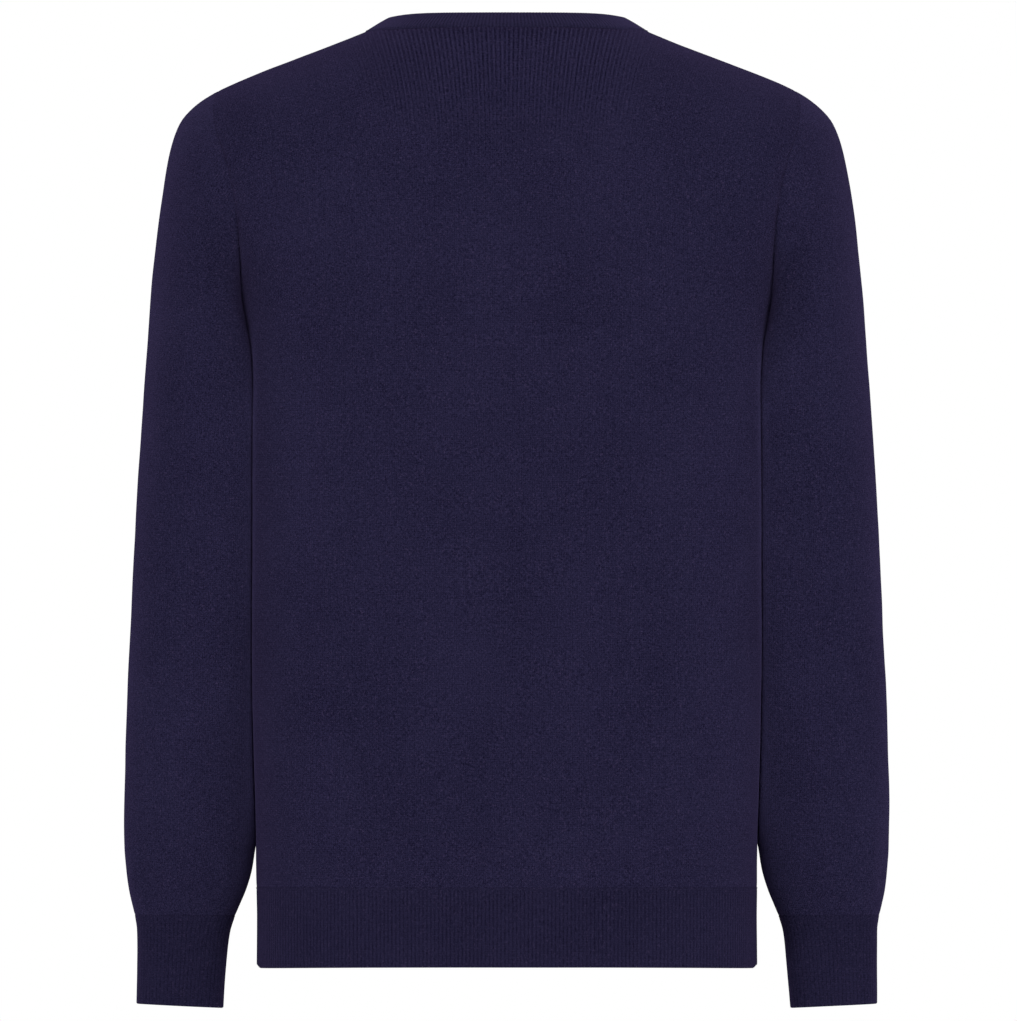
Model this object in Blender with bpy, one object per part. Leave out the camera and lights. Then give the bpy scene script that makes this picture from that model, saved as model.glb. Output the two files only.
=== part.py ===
"""A navy fine-gauge V-neck sweater, filled out as worn, with nobody in it.

Metres, +Z up. The front, with its V neckline, faces -Y, and the wearer's left sleeve is at +X. The origin
is the middle of the neck opening, level with the two points where the shoulder seams meet the neckband:
the place where a wearer's neck and shoulders hold the garment up.

Every knitted piece is a wall of its own. Its outer face is a grid of points worked out from the torso's
dome or from the sleeve's rings, and the inner face is that grid moved in along its normals.
"""

import bmesh
import bpy
import numpy as np

MM = 0.001

# Driving sizes
KNIT_WALL = 1.8 * MM  # plain fine-gauge knit
RIB_WALL = 2.4 * MM  # the ribs draw in and are thicker
SEAM_GAP = 0.34 * MM  # clear space between two pieces at a seam
SLEEVE_CLEARANCE = 1.2 * MM  # between the sleeve's inner side and the torso

NECK_HALF_WIDTH = 102 * MM  # to the points where shoulder seam and neckband meet
BACK_NECK_RISE = 3.2 * MM  # the back neck seam's middle stands above those points
V_DEPTH = 185 * MM  # from those points down to the point of the V
BAND_WIDTH = 19 * MM  # across the ribbed neckband
BAND_RISE = 10.2 * MM  # how far the band stands up round the back of the neck
MITRE_REACH = 55 * MM  # half width below which the band's ends slant towards the mitre
TIP_HALF_WIDTH = 208 * MM  # shoulder tip, the top of the armhole
TIP_Z = -42.5 * MM
ARMPIT_Z = -216 * MM
RIB_TOP_Z = -615 * MM  # where the hem rib starts
HEM_Z = -672.5 * MM

# Grid counts. The armhole's points are shared by the panels and the sleeve.
ARMHOLE_STEPS = 14
LOWER_ROWS = 7
NECK_COLUMNS = 6
SHOULDER_COLUMNS = 7
RIB_ROWS = 2

NAVY = (0.0176, 0.0153, 0.0409)
RIB_NAVY = (0.0150, 0.0130, 0.0350)


def named_columns(names, rows):
    """A table with a row for each section and a name for each column."""
    return dict(zip(names.split(), np.array(rows, float).T))


# The torso's level sections, in millimetres: half width, and depth behind and before the side seams.
# Above the armpit the half width is that of torso and upper arm together.
TORSO = named_columns(
    "height  half_width  back  front",
    [
        (-672.5, 179.9, 113, 112),
        (-582, 180.5, 111, 113),
        (-530, 182.6, 109, 113.5),
        (-480, 184.8, 107, 114),
        (-409, 187.5, 106, 115),
        (-290, 191.5, 109, 117),
        (-216, 193, 112, 118),
        (-196, 196, 112.5, 118),
        (-170, 201, 113, 117.5),
        (-140, 214, 112, 115),
        (-110, 226, 110, 111),
        (-60, 236, 104, 104),
        (0, 240, 98, 92),
        (40, 240, 92, 84),
    ],
)
SECTION_POWER = 3.2  # of the rounded-square section; 2 would be an ellipse

# The ridge over the shoulders, and how far below it the torso reaches its full depth, in millimetres.
# Inside the neckline the ridge is only the dome that the seam line is cut on.
RIDGE = named_columns(
    "across  height  back_rounding  front_rounding",
    [
        (-30, 33, 117, 150),
        (0, 40, 122, 155),
        (30, 33, 117, 150),
        (60, 20, 108, 140),
        (102, 0, 92, 118),
        (150, -18.8, 74, 88),
        (194, -36, 64, 68),
        (208, -42.5, 62, 62),
    ],
)

# The soft upright folds low on the panels, in millimetres: where each lies across at the hem, how far its
# middle leans for each millimetre of height, its half width, how far it stands out, and where it fades.
BACK_FOLDS = named_columns(
    "across  lean  half_width  stands_out  fades_from  fades_to",
    [
        (-112, 0.04, 30, 3.2, -560, -440),
        (-62, 0.02, 20, -2.0, -600, -500),
        (28, -0.05, 34, -3.0, -560, -400),
        (82, -0.03, 18, 1.6, -615, -540),
        (124, -0.02, 20, 2.4, -600, -530),
    ],
)
FRONT_FOLDS = named_columns(
    "across  lean  half_width  stands_out  fades_from  fades_to",
    [
        (-120, -0.03, 24, 2.2, -580, -470),
        (-70, 0.03, 26, -2.6, -560, -410),
        (14, 0.05, 30, 3.0, -570, -430),
        (66, -0.02, 18, -1.8, -610, -520),
        (118, 0.04, 26, 2.6, -570, -450),
    ],
)

# The armhole seam, in millimetres, from the armpit to the shoulder tip.
ARMHOLE = named_columns(
    "height  across",
    [
        (-216, 193),
        (-186, 191.5),
        (-142.6, 193),
        (-114, 197),
        (-91, 202.5),
        (-69, 209.5),
        (-54, 211),
        (-42.5, 208),
    ],
)

# The sleeve's rings, in millimetres: the outer and inner edge seen from behind, the middle and the half
# depth from front to back, how far the ring has left the armhole's shape for a rounded one, and how
# square its inner half is pressed.
SLEEVE = named_columns(
    "outer_x  outer_z  inner_x  inner_z  middle_y  half_depth  rounded  inner_power",
    [
        (208, -42.5, 193, -216, 0, 61, 0, 5),
        (217, -48, 189, -220.5, 0, 62, 0.12, 5),
        (226.5, -55.5, 186, -224.5, 0, 63.5, 0.28, 5),
        (234.5, -65, 183, -228.5, 0, 65, 0.45, 5),
        (241, -81, 180.5, -233, 0, 66.5, 0.65, 5),
        (246.5, -107, 177.5, -238.5, 0.5, 67.5, 0.85, 5),
        (252.4, -150, 175.5, -247, 1, 67, 1, 5),
        (257.7, -208, 173.5, -262, 1.5, 65, 1, 5),
        (262, -268, 172, -293, 2, 61.5, 1, 5),
        (265.8, -325, 171, -338, 2, 57, 1, 5),
        (269.6, -400, 170.5, -404, 0, 51, 1, 5),
        (273.0, -470, 171, -471, -4, 46, 1, 5),
        (275.0, -530, 173, -530, -9, 42, 1, 5),
        (275.5, -563, 176.5, -563, -12, 40, 1, 5),
        (275.2, -588, 181.2, -588, -15, 38, 1, 5),
        (274.1, -603, 183.6, -603, -17, 36.5, 1, 4.8),
        (272.4, -617, 187.6, -617, -19, 33, 1, 4.6),
        (270.0, -629, 192.6, -629, -20.5, 29, 1, 4.4),
        (268.4, -635.7, 195.6, -636, -21, 27, 1, 4.2),
    ],
)
OUTER_POWER = 2.15  # of the rings' outer half, which is rounder than the inner one

# The cuff's rings below the sleeve's last one
CUFF = named_columns(
    "outer_x  outer_z  inner_x  inner_z  middle_y  half_depth  inner_power",
    [
        (266.8, -647, 199.2, -648, -22, 25.4, 4.0),
        (266.5, -668, 201.7, -670, -24, 24.4, 3.8),
        (266.8, -699, 204.2, -702, -26.5, 23.4, 3.6),
    ],
)


def smooth(xs, ys, at):
    """Reads a table along a smooth curve through its rows that never overshoots them."""
    xs, ys = np.asarray(xs, float), np.asarray(ys, float)
    at = np.clip(np.asarray(at, float), xs[0], xs[-1])
    step = np.diff(xs)
    rise = np.diff(ys) / step
    slope = np.zeros(len(xs))
    same_way = rise[:-1] * rise[1:] > 0
    weight = 2 * step[1:] + step[:-1], step[1:] + 2 * step[:-1]
    with np.errstate(divide="ignore", invalid="ignore"):
        mean = (weight[0] + weight[1]) / (weight[0] / rise[:-1] + weight[1] / rise[1:])
    slope[1:-1] = np.where(same_way, mean, 0)
    slope[0], slope[-1] = rise[0], rise[-1]
    i = np.clip(np.searchsorted(xs, at, side="right") - 1, 0, len(xs) - 2)
    t = (at - xs[i]) / step[i]
    return (
        ys[i] * (1 + 2 * t) * (1 - t) ** 2
        + ys[i + 1] * t**2 * (3 - 2 * t)
        + step[i] * (slope[i] * t * (1 - t) ** 2 - slope[i + 1] * t**2 * (1 - t))
    )


def table(rows, column, key, at):
    """A column of a millimetre table, read at heights or widths given in metres."""
    return smooth(rows[key], rows[column], np.asarray(at) / MM) * MM


def ridge_z(x):
    return table(RIDGE, "height", "across", np.abs(x))


def torso_y(x, z, side):
    """How far the torso stands out in front (side -1) or behind (side 1) at x, z."""
    half_width = table(TORSO, "half_width", "height", z)
    depth = table(TORSO, "back" if side > 0 else "front", "height", z)
    across = np.clip(np.abs(x) / half_width, 0, 1)
    full = depth * (1 - across**SECTION_POWER) ** (1 / SECTION_POWER)
    rounding = table(RIDGE, "back_rounding" if side > 0 else "front_rounding", "across", np.abs(x))
    below = np.clip((ridge_z(x) - z) / rounding, 0, 1)
    return side * (full * np.sqrt(1 - (1 - below) ** 2) + folds_out(x, z, side))


def folds_out(x, z, side):
    """How far the upright folds stand out of the panel at x, z."""
    folds = BACK_FOLDS if side > 0 else FRONT_FOLDS
    out = 0
    for across, lean, half_width, stands_out, fades_from, fades_to in zip(*folds.values()):
        off = (x / MM - across - lean * (z - HEM_Z) / MM) / half_width
        fade = np.clip((fades_to - z / MM) / (fades_to - fades_from), 0, 1)
        out = out + stands_out * MM * np.exp(-(off**2)) * fade**2 * (3 - 2 * fade)
    return out


def torso_x(y, z):
    """Half width of the torso at y."""
    half_width = table(TORSO, "half_width", "height", z)
    depth = np.where(y > 0, table(TORSO, "back", "height", z), table(TORSO, "front", "height", z))
    part = np.clip(np.abs(y) / depth, 0, 1)
    return half_width * (1 - part**SECTION_POWER) ** (1 / SECTION_POWER)


def armhole_steps():
    """Shares of the armhole's height, close together at the armpit and at the tip."""
    return (1 - np.cos(np.pi * np.arange(ARMHOLE_STEPS + 1) / ARMHOLE_STEPS)) / 2


def armhole_edge(side):
    """The armhole seam from the armpit to the tip, on the front or the back panel."""
    z = ARMPIT_Z + armhole_steps() * (TIP_Z - ARMPIT_Z)
    x = table(ARMHOLE, "across", "height", z)
    y = torso_y(x, z, side)
    y[0] = y[-1] = 0
    return np.stack([x, y, z], axis=-1)


def column_shares():
    """Where the columns lie, as shares of a panel's half width: closer where the neckline and sides turn."""
    neck = NECK_HALF_WIDTH / TIP_HALF_WIDTH
    inner = neck * np.sin(np.pi / 2 * np.arange(NECK_COLUMNS + 1) / NECK_COLUMNS)
    turn = np.pi / 2 * np.arange(1, SHOULDER_COLUMNS + 1) / SHOULDER_COLUMNS
    outer = neck + (1 - neck) * np.sin(turn)
    half = np.concatenate([inner, outer])
    return np.concatenate([-half[:0:-1], half])


def back_neck_z(x):
    return BACK_NECK_RISE * (1 - (np.abs(x) / NECK_HALF_WIDTH) ** 6)


def front_neck_z(x):
    return -V_DEPTH * (1 - np.abs(x) / NECK_HALF_WIDTH)


def panel(side):
    """The plain part of the front or back: rows from the hem rib up to the neck and shoulder seams."""
    shares = column_shares()
    top_x = shares * TIP_HALF_WIDTH
    neck_z = front_neck_z(top_x) if side < 0 else back_neck_z(top_x)
    top_z = np.where(np.abs(top_x) < NECK_HALF_WIDTH - 1e-6, neck_z, ridge_z(top_x))
    top_z[np.isclose(np.abs(top_x), NECK_HALF_WIDTH)] = 0
    top_z[[0, -1]] = TIP_Z
    rows = []
    for z in np.linspace(RIB_TOP_Z, ARMPIT_Z, LOWER_ROWS + 1):
        rows.append(level_row(shares, z, side))
    for share, point in zip(armhole_steps()[1:], armhole_edge(side)[1:]):
        x = shares * point[0]
        z = ARMPIT_Z + share * (top_z - ARMPIT_Z)
        y = torso_y(x, z, side)
        y[[0, -1]] = point[1]
        rows.append(np.stack([x, y, z], axis=-1))
    rows[-1][np.abs(top_x) > NECK_HALF_WIDTH - 1e-6, 1] = 0
    return np.array(rows)


def level_row(shares, z, side):
    """A level row of a panel, which ends on the side seams."""
    z = np.full(len(shares), z)
    x = shares * table(TORSO, "half_width", "height", z)
    y = torso_y(x, z, side)
    y[[0, -1]] = 0
    return np.stack([x, y, z], axis=-1)


def hem_rib(side):
    heights = np.linspace(HEM_Z, RIB_TOP_Z, RIB_ROWS + 1)
    return np.array([level_row(column_shares(), z, side) for z in heights])


def ring(rows, i):
    """One rounded ring of a sleeve or cuff, from its outer edge over the back to the inner edge and round."""
    turn = 2 * np.pi * np.arange(2 * ARMHOLE_STEPS) / (2 * ARMHOLE_STEPS)
    outer = np.array([rows["outer_x"][i], rows["middle_y"][i], rows["outer_z"][i]]) * MM
    inner = np.array([rows["inner_x"][i], rows["middle_y"][i], rows["inner_z"][i]]) * MM
    power = 2 / np.where(np.cos(turn) > 0, OUTER_POWER, rows["inner_power"][i])
    along = np.sign(np.cos(turn)) * np.abs(np.cos(turn)) ** power
    deep = np.sign(np.sin(turn)) * np.abs(np.sin(turn)) ** power * rows["half_depth"][i] * MM
    points = (outer + inner) / 2 + along[:, None] * (outer - inner) / 2
    points[:, 1] += deep
    return points


def sleeve():
    """The wearer's left sleeve, from the armhole to the cuff."""
    back, front = armhole_edge(1)[::-1], armhole_edge(-1)
    armhole = np.concatenate([back[:-1], front[:-1]])
    rings = []
    for i, rounded in enumerate(SLEEVE["rounded"]):
        shape = ring(SLEEVE, i)
        # The armhole's own shape, carried along to this ring's top and bottom
        share = (armhole[:, 2:] - ARMPIT_Z) / (TIP_Z - ARMPIT_Z)
        top = shape[0] - armhole[0]
        bottom = shape[ARMHOLE_STEPS] - armhole[ARMHOLE_STEPS]
        carried = armhole + bottom + share * (top - bottom)
        rings.append((1 - rounded) * carried + rounded * shape)
    return keep_clear(np.array(rings))


def keep_clear(rings):
    """Moves the inner side of a sleeve out to just clear of the torso that it hangs against."""
    x, y, z = np.moveaxis(rings[1:], -1, 0)
    side_x = torso_x(y, z)
    # Beside the armhole the torso ends at the seam
    side_x = np.where(z > ARMPIT_Z, np.minimum(side_x, table(ARMHOLE, "across", "height", z)), side_x)
    rings[1:, :, 0] = np.maximum(x, side_x + SLEEVE_CLEARANCE)
    return rings


def cuff():
    """The cuff starts on the sleeve's last ring."""
    rings = [ring(CUFF, i) for i in range(len(CUFF["outer_x"]))]
    return np.array([sleeve()[-1], *rings])


def neckband():
    """The ribbed strip, from the point of the V over the left shoulder, round the back, and down to the V.

    It lies on the chest along the V, where its ends are mitred, and leans in and up round the back.
    """
    middle = NECK_COLUMNS + SHOULDER_COLUMNS
    x = column_shares()[middle : middle + NECK_COLUMNS + 1] * TIP_HALF_WIDTH

    front_z = front_neck_z(x)
    front = np.stack([x, torso_y(x, front_z, -1), front_z], axis=-1)
    slant = np.arctan2(NECK_HALF_WIDTH, V_DEPTH)
    in_x = x - BAND_WIDTH * np.cos(slant) * np.minimum(x / MITRE_REACH, 1)
    in_z = front_neck_z(in_x) + BAND_WIDTH / np.sin(slant)
    front_inner = np.stack([in_x, torso_y(in_x, in_z, -1), in_z], axis=-1)

    back_z = back_neck_z(x)
    back = np.stack([x, torso_y(x, back_z, 1), back_z], axis=-1)
    front[-1] = back[-1] = (NECK_HALF_WIDTH, 0, 0)
    # Square to the seam in plan, which is close to an ellipse
    away = back[:, :2] / (NECK_HALF_WIDTH**2, back[0, 1] ** 2)
    away /= np.linalg.norm(away, axis=1, keepdims=True)
    lean = np.sqrt(BAND_WIDTH**2 - BAND_RISE**2)
    back_inner = np.column_stack([back[:, :2] - lean * away, back_z + BAND_RISE])

    left = np.concatenate([front, back[-2::-1]])
    left_inner = np.concatenate([front_inner[:-1], back_inner[::-1]])
    seam = np.concatenate([left, left[-2::-1] * (-1, 1, 1)])
    inner = np.concatenate([left_inner, left_inner[-2::-1] * (-1, 1, 1)])
    return np.array([seam, inner])


def normals_of(grid, closed):
    """Unit normals of a grid of points, pointing out of the garment."""
    if closed:
        along = np.roll(grid, -1, axis=1) - np.roll(grid, 1, axis=1)
    else:
        along = np.gradient(grid, axis=1)
    up = np.gradient(grid, axis=0)
    normal = np.cross(along, up)
    length = np.linalg.norm(normal, axis=-1, keepdims=True)
    return normal / np.maximum(length, 1e-12)


def share_seam_normals(pieces):
    """Walls that meet at a seam are turned the same way there, so that they stay apart all through."""
    edges = []
    for piece in pieces:
        rows, columns = piece["grid"].shape[:2]
        for r in range(rows):
            for c in range(columns):
                on_side = not piece["closed"] and c in (0, columns - 1)
                if r in (0, rows - 1) or on_side:
                    edges.append((piece, r, c))
    points = np.array([p["grid"][r, c] for p, r, c in edges])
    own = np.array([p["normals"][r, c] for p, r, c in edges])
    for i, (piece, r, c) in enumerate(edges):
        near = np.linalg.norm(points - points[i], axis=1) < 0.6 * MM
        agree = near & (own @ own[i] > 0.2)
        mean = own[agree].sum(axis=0)
        piece["normals"][r, c] = mean / np.linalg.norm(mean)


def open_seams(piece):
    """Draws a piece back from its own edges by half a seam gap."""
    grid = piece["grid"]
    moved = grid.copy()
    ends = [(np.s_[0], np.s_[1]), (np.s_[-1], np.s_[-2])]
    if not piece["closed"]:
        ends += [(np.s_[:, 0], np.s_[:, 1]), (np.s_[:, -1], np.s_[:, -2])]
    for edge, inside in ends:
        way = grid[inside] - grid[edge]
        way /= np.maximum(np.linalg.norm(way, axis=-1, keepdims=True), 1e-12)
        moved[edge] += way * SEAM_GAP / 2
    piece["grid"] = moved


def knitted_wall(piece):
    """A closed wall: the outer grid, the same grid moved in, and the edges between them."""
    outer = piece["grid"]
    inner = outer - piece["normals"] * piece["wall"]
    rows, columns = outer.shape[:2]
    mesh = bmesh.new()
    out = [[mesh.verts.new(p) for p in row] for row in outer]
    inn = [[mesh.verts.new(p) for p in row] for row in inner]
    last = columns if piece["closed"] else columns - 1
    for r in range(rows - 1):
        for c in range(last):
            d = (c + 1) % columns
            mesh.faces.new((out[r][c], out[r][d], out[r + 1][d], out[r + 1][c]))
            mesh.faces.new((inn[r][c], inn[r + 1][c], inn[r + 1][d], inn[r][d]))
    for c in range(last):
        d = (c + 1) % columns
        mesh.faces.new((out[0][c], inn[0][c], inn[0][d], out[0][d]))
        mesh.faces.new((out[-1][c], out[-1][d], inn[-1][d], inn[-1][c]))
    if not piece["closed"]:
        for r in range(rows - 1):
            mesh.faces.new((out[r][0], out[r + 1][0], inn[r + 1][0], inn[r][0]))
            mesh.faces.new((out[r][-1], inn[r][-1], inn[r + 1][-1], out[r + 1][-1]))
    bmesh.ops.recalc_face_normals(mesh, faces=mesh.faces)
    data = bpy.data.meshes.new(piece["name"])
    mesh.to_mesh(data)
    mesh.free()
    data.shade_smooth()
    data.set_sharp_from_angle(angle=np.radians(50))
    data.materials.append(piece["material"])
    thing = bpy.data.objects.new(piece["name"], data)
    bpy.context.scene.collection.objects.link(thing)


def knit_material(name, colour, roughness):
    material = bpy.data.materials.new(name)
    material.use_nodes = True
    shader = material.node_tree.nodes["Principled BSDF"]
    shader.inputs["Base Color"].default_value = (*colour, 1)
    shader.inputs["Roughness"].default_value = roughness
    shader.inputs["Metallic"].default_value = 0
    return material


def mirrored(grid):
    """The same piece on the wearer's right. A ring runs the other way round there, to face out too."""
    return grid[:, ::-1] * (-1, 1, 1)


def facing_out(grid, closed, outward):
    """Turns a grid's columns round if its normals point into the garment."""
    normals = normals_of(grid, closed)
    row = len(grid) // 2
    if np.sum(normals[row] * outward(grid[row])) < 0:
        grid = grid[:, ::-1]
    return grid


def away_from_middle(points):
    return points - points.mean(axis=0)


def away_from_axis(points):
    return points * (1, 1, 0)


def main():
    for thing in list(bpy.data.objects):
        bpy.data.objects.remove(thing, do_unlink=True)

    plain = knit_material("plain_knit", NAVY, 0.9)
    rib = knit_material("rib_knit", RIB_NAVY, 0.92)
    shapes = [
        ("back_panel", panel(1), False, away_from_axis, KNIT_WALL, plain),
        ("front_panel", panel(-1), False, away_from_axis, KNIT_WALL, plain),
        ("sleeve_left", sleeve(), True, away_from_middle, KNIT_WALL, plain),
        ("sleeve_right", mirrored(sleeve()), True, away_from_middle, KNIT_WALL, plain),
        ("hem_rib_back", hem_rib(1), False, away_from_axis, RIB_WALL, rib),
        ("hem_rib_front", hem_rib(-1), False, away_from_axis, RIB_WALL, rib),
        ("cuff_left", cuff(), True, away_from_middle, RIB_WALL, rib),
        ("cuff_right", mirrored(cuff()), True, away_from_middle, RIB_WALL, rib),
        ("neckband", neckband(), False, away_from_axis, RIB_WALL, rib),
    ]
    pieces = []
    for name, grid, closed, outward, wall, material in shapes:
        grid = facing_out(grid, closed, outward)
        pieces.append(
            {
                "name": name,
                "grid": grid,
                "closed": closed,
                "wall": wall,
                "material": material,
                "normals": normals_of(grid, closed),
            }
        )
    share_seam_normals(pieces)
    for piece in pieces:
        open_seams(piece)
        knitted_wall(piece)


main()
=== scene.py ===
import bmesh
import bpy
import numpy as np
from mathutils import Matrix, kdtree, noise


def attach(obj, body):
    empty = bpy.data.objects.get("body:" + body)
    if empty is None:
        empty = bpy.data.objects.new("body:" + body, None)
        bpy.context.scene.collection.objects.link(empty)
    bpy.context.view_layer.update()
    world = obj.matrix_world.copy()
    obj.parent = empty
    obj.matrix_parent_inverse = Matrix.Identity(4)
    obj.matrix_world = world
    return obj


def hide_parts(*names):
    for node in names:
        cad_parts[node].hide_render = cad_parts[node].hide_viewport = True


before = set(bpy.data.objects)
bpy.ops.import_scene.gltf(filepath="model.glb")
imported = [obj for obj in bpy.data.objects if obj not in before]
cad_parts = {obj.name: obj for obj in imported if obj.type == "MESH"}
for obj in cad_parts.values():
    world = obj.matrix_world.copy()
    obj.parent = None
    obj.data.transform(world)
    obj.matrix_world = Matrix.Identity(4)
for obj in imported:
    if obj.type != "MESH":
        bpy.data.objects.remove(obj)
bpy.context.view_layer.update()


# Studio. The camera stands far behind the sweater, level with its middle, and looks squarely at its back.
# Large soft lights stand round it. The pale floor is where a wearer's feet would be, well below the cuffs,
# and the air behind is plain white.
MM = 0.001
PIXEL = 0.72 * MM  # what one pixel of the photograph covers
IMAGE_HEIGHT = 1021
CAMERA_AWAY = 25.0
VIEW_MIDDLE = (-1.2 * MM, 0.0, -344.5 * MM)
FLOOR_Z = -1.45
FLOOR_HALF = 20.0
FLOOR_GREY = 0.9
AIR_LIGHT = 0.74  # the strength of the soft light from all round

camera_data = bpy.data.cameras.new("camera")
camera_data.sensor_width = 36
camera_data.lens = camera_data.sensor_width * CAMERA_AWAY / (IMAGE_HEIGHT * PIXEL)
camera_data.clip_start = 1
camera_data.clip_end = 200
camera = bpy.data.objects.new("camera", camera_data)
camera.location = (VIEW_MIDDLE[0], CAMERA_AWAY, VIEW_MIDDLE[2])
camera.rotation_euler = (np.radians(90), 0, np.radians(180))
bpy.context.scene.collection.objects.link(camera)
bpy.context.scene.camera = camera
bpy.context.scene.view_settings.view_transform = "Standard"


def add(tree, kind, inputs=(), **settings):
    """A node with its settings, and its inputs given as plain values or as other nodes' outputs."""
    made = tree.nodes.new(kind)
    for name, value in settings.items():
        setattr(made, name, value)
    for name, value in dict(inputs).items():
        if isinstance(value, bpy.types.NodeSocket):
            tree.links.new(value, made.inputs[name])
        else:
            made.inputs[name].default_value = value
    return made


world = bpy.data.worlds.new("white air")
world.use_nodes = True
air = world.node_tree
air.nodes.clear()
seen_air = add(air, "ShaderNodeBackground", {"Color": (1, 1, 1, 1), "Strength": 1.0})
soft_air = add(air, "ShaderNodeBackground", {"Color": (0.97, 0.98, 1, 1), "Strength": AIR_LIGHT})
eye = add(air, "ShaderNodeLightPath")
seen_directly = eye.outputs["Is Camera Ray"]
which = add(
    air, "ShaderNodeMixShader", {0: seen_directly, 1: soft_air.outputs[0], 2: seen_air.outputs[0]}
)
add(air, "ShaderNodeOutputWorld", {"Surface": which.outputs[0]})
bpy.context.scene.world = world

# Each light: its name, where it stands, its width and its power
LIGHTS = [
    ("light_back_left", (2.6, 3.1, 0.6), 2.0, 27),
    ("light_back_right", (-2.8, 2.9, 0.4), 2.0, 36.5),
    ("light_front_left", (2.6, -3.1, 0.6), 2.0, 29),
    ("light_front_right", (-2.8, -2.9, 0.3), 2.0, 32),
    ("light_above", (0.0, 0.3, 3.2), 2.6, 5),
]
for name, place, width, power in LIGHTS:
    light_data = bpy.data.lights.new(name, "AREA")
    light_data.size = width
    light_data.energy = power
    light = bpy.data.objects.new(name, light_data)
    light.location = place
    to_light = np.array(place) - VIEW_MIDDLE
    flat_away = np.hypot(to_light[0], to_light[1])
    light.rotation_euler = (np.arctan2(flat_away, to_light[2]), 0, np.arctan2(to_light[0], -to_light[1]))
    bpy.context.scene.collection.objects.link(light)

floor_mesh = bpy.data.meshes.new("floor")
corner_ways = ((-1, -1), (1, -1), (1, 1), (-1, 1))
floor_corners = [(x * FLOOR_HALF, y * FLOOR_HALF, FLOOR_Z) for x, y in corner_ways]
floor_mesh.from_pydata(floor_corners, [], [(0, 1, 2, 3)])
floor_paint = bpy.data.materials.new("pale floor")
floor_paint.use_nodes = True
floor_shader = floor_paint.node_tree.nodes["Principled BSDF"]
floor_shader.inputs["Base Color"].default_value = (FLOOR_GREY, FLOOR_GREY, FLOOR_GREY, 1)
floor_shader.inputs["Roughness"].default_value = 0.8
floor_mesh.materials.append(floor_paint)
floor = bpy.data.objects.new("floor", floor_mesh)
bpy.context.scene.collection.objects.link(floor)


# Back and front panels. Each is knitted in one piece, plain, from the hem rib up to the shoulders, and
# narrowed at the armholes. They are linked together at the sides and over the shoulders, and with the
# wearer gone they keep the round of chest and back.
KNIT_WALL = 1.5 * MM
NECK_HALF_WIDTH = 102 * MM  # to the points where shoulder seam and neckband meet
BACK_NECK_RISE = 3.2 * MM
V_DEPTH = 185 * MM
TIP_HALF_WIDTH = 208 * MM  # the top of the armhole
TIP_Z = -42.5 * MM
ARMPIT_Z = -216 * MM
RIB_TOP_Z = -615 * MM
HEM_Z = -672.5 * MM
SECTION_POWER = 3.2  # of the rounded-square section; 2 would be an ellipse
NECK_COLUMNS = 36  # mesh columns from the middle to the neck's corner
SHOULDER_COLUMNS = 42  # and on to the side
LOWER_ROWS = 124  # mesh rows up to the armpit
UPPER_ROWS = 92
COLUMNS_TURN_FROM = -214 * MM  # above this height the columns start to spread for the armhole
COLUMNS_TURN_TO = -150 * MM
EDGE_STEPS = np.array([1.4, 1.0, 0.7, 0.5]) * MM  # the mesh's steps beside a seam, for its groove
SEAM_DEPTH = 0.28 * MM  # where two pieces are linked together
NECK_DEPTH = 1.1 * MM  # at the neckband, behind the neck
JOIN_DEPTH = 0.14 * MM  # where one is knitted on to the other
SEAM_REACH = 1.5 * MM
NECK_REACH = 2.2 * MM
NECK_DEEP_TO = 96 * MM  # the half width over which the groove below the band is deepest
NECK_DEEP_FADE = 16 * MM
SEAM_BLEND = 4 * MM  # the depth over which the back's normals turn into the front's at a seam
SEAM_MARGIN = 2 * MM  # creases start this far from a seam
CREASE_RISE = 26 * MM  # and are full this much further in
RIPPLES = ((52 * MM, 0.55 * MM), (21 * MM, 0.16 * MM))  # size and height of the cloth's faint unevenness
WALE = 1.6 * MM  # width of a stitch
COURSE = 1.5 * MM  # height of a stitch
PULL_WALE = 2.75 * MM  # the fine ribs that the neckband's pull raises below the neck
PULL_FAN = 0.21  # how far those ribs spread towards the neck
PULL_REACH = 95 * MM  # how far below the neck they still spread
PULL_DEPTH = 62 * MM  # and how far below it about a third of their height is left
PULL_HALF_WIDTH = 118 * MM  # how far to the side they are seen
PULL_SIDE_FADE = 50 * MM
FRONT_PULL = 0.5  # they are weaker on the front
V_SLANT = 0.5  # a way straight down from the V's edge, as measured square to that edge
NECK_PAINTED_SHADE = -0.15  # darker along the neck seam: painted shade below the standing band, and the drawn-in stitches' own darker look
NECK_PAINTED_SHADE_REACH = 8.5 * MM

# Patches of painted shade on the panels, darker beside the shoulder tips and in broad patches low down:
# middle, reach and shade. They are for the back, and turn to the other side on the front.
PAINTED_SHADE_PATCHES = {
    "x": (194, -194, 70, 120, -110),
    "z": (-72, -72, -520, -585, -470),
    "reach_x": (16, 16, 62, 50, 50),
    "reach_z": (28, 28, 110, 50, 90),
    "shade": (-0.08, -0.05, -0.055, -0.05, -0.02),
}
SECTION_POINTS = 6000  # how closely a level section is measured to place the columns on it
LENGTH_POINTS = 3000  # and how closely other lines are measured
SHOULDER_POINTS = 4000
NAVY_DEEP = (0.0056, 0.0050, 0.0168, 1)
NAVY_FIBRE = (0.0326, 0.0283, 0.0730, 1)
NAVY_VIOLET = (0.0470, 0.0345, 0.0830, 1)
KNIT_RELIEF = 0.2 * MM
PULL_PAINTED_LIGHT = 0.24  # how much lighter the pulled ribs are painted than the furrows between them: painted shade of their relief
FLECK_LIGHT = 1.4  # how strongly the yarn's flecks show
WOOL_ROUGHNESS = 0.88
ROUGH_SPREAD = 0.2  # how much the roughness varies with flecks or fibres
LEG_CLIMB = 1.3  # how steeply the arms of the V climb, in courses to a wale
ARM_FROM = 0.17  # the arm's thickness across, as a part of a wave: its start at the wale's middle
ARM_SPREAD = 1.66  # and how much of the wave fits into one wale
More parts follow.
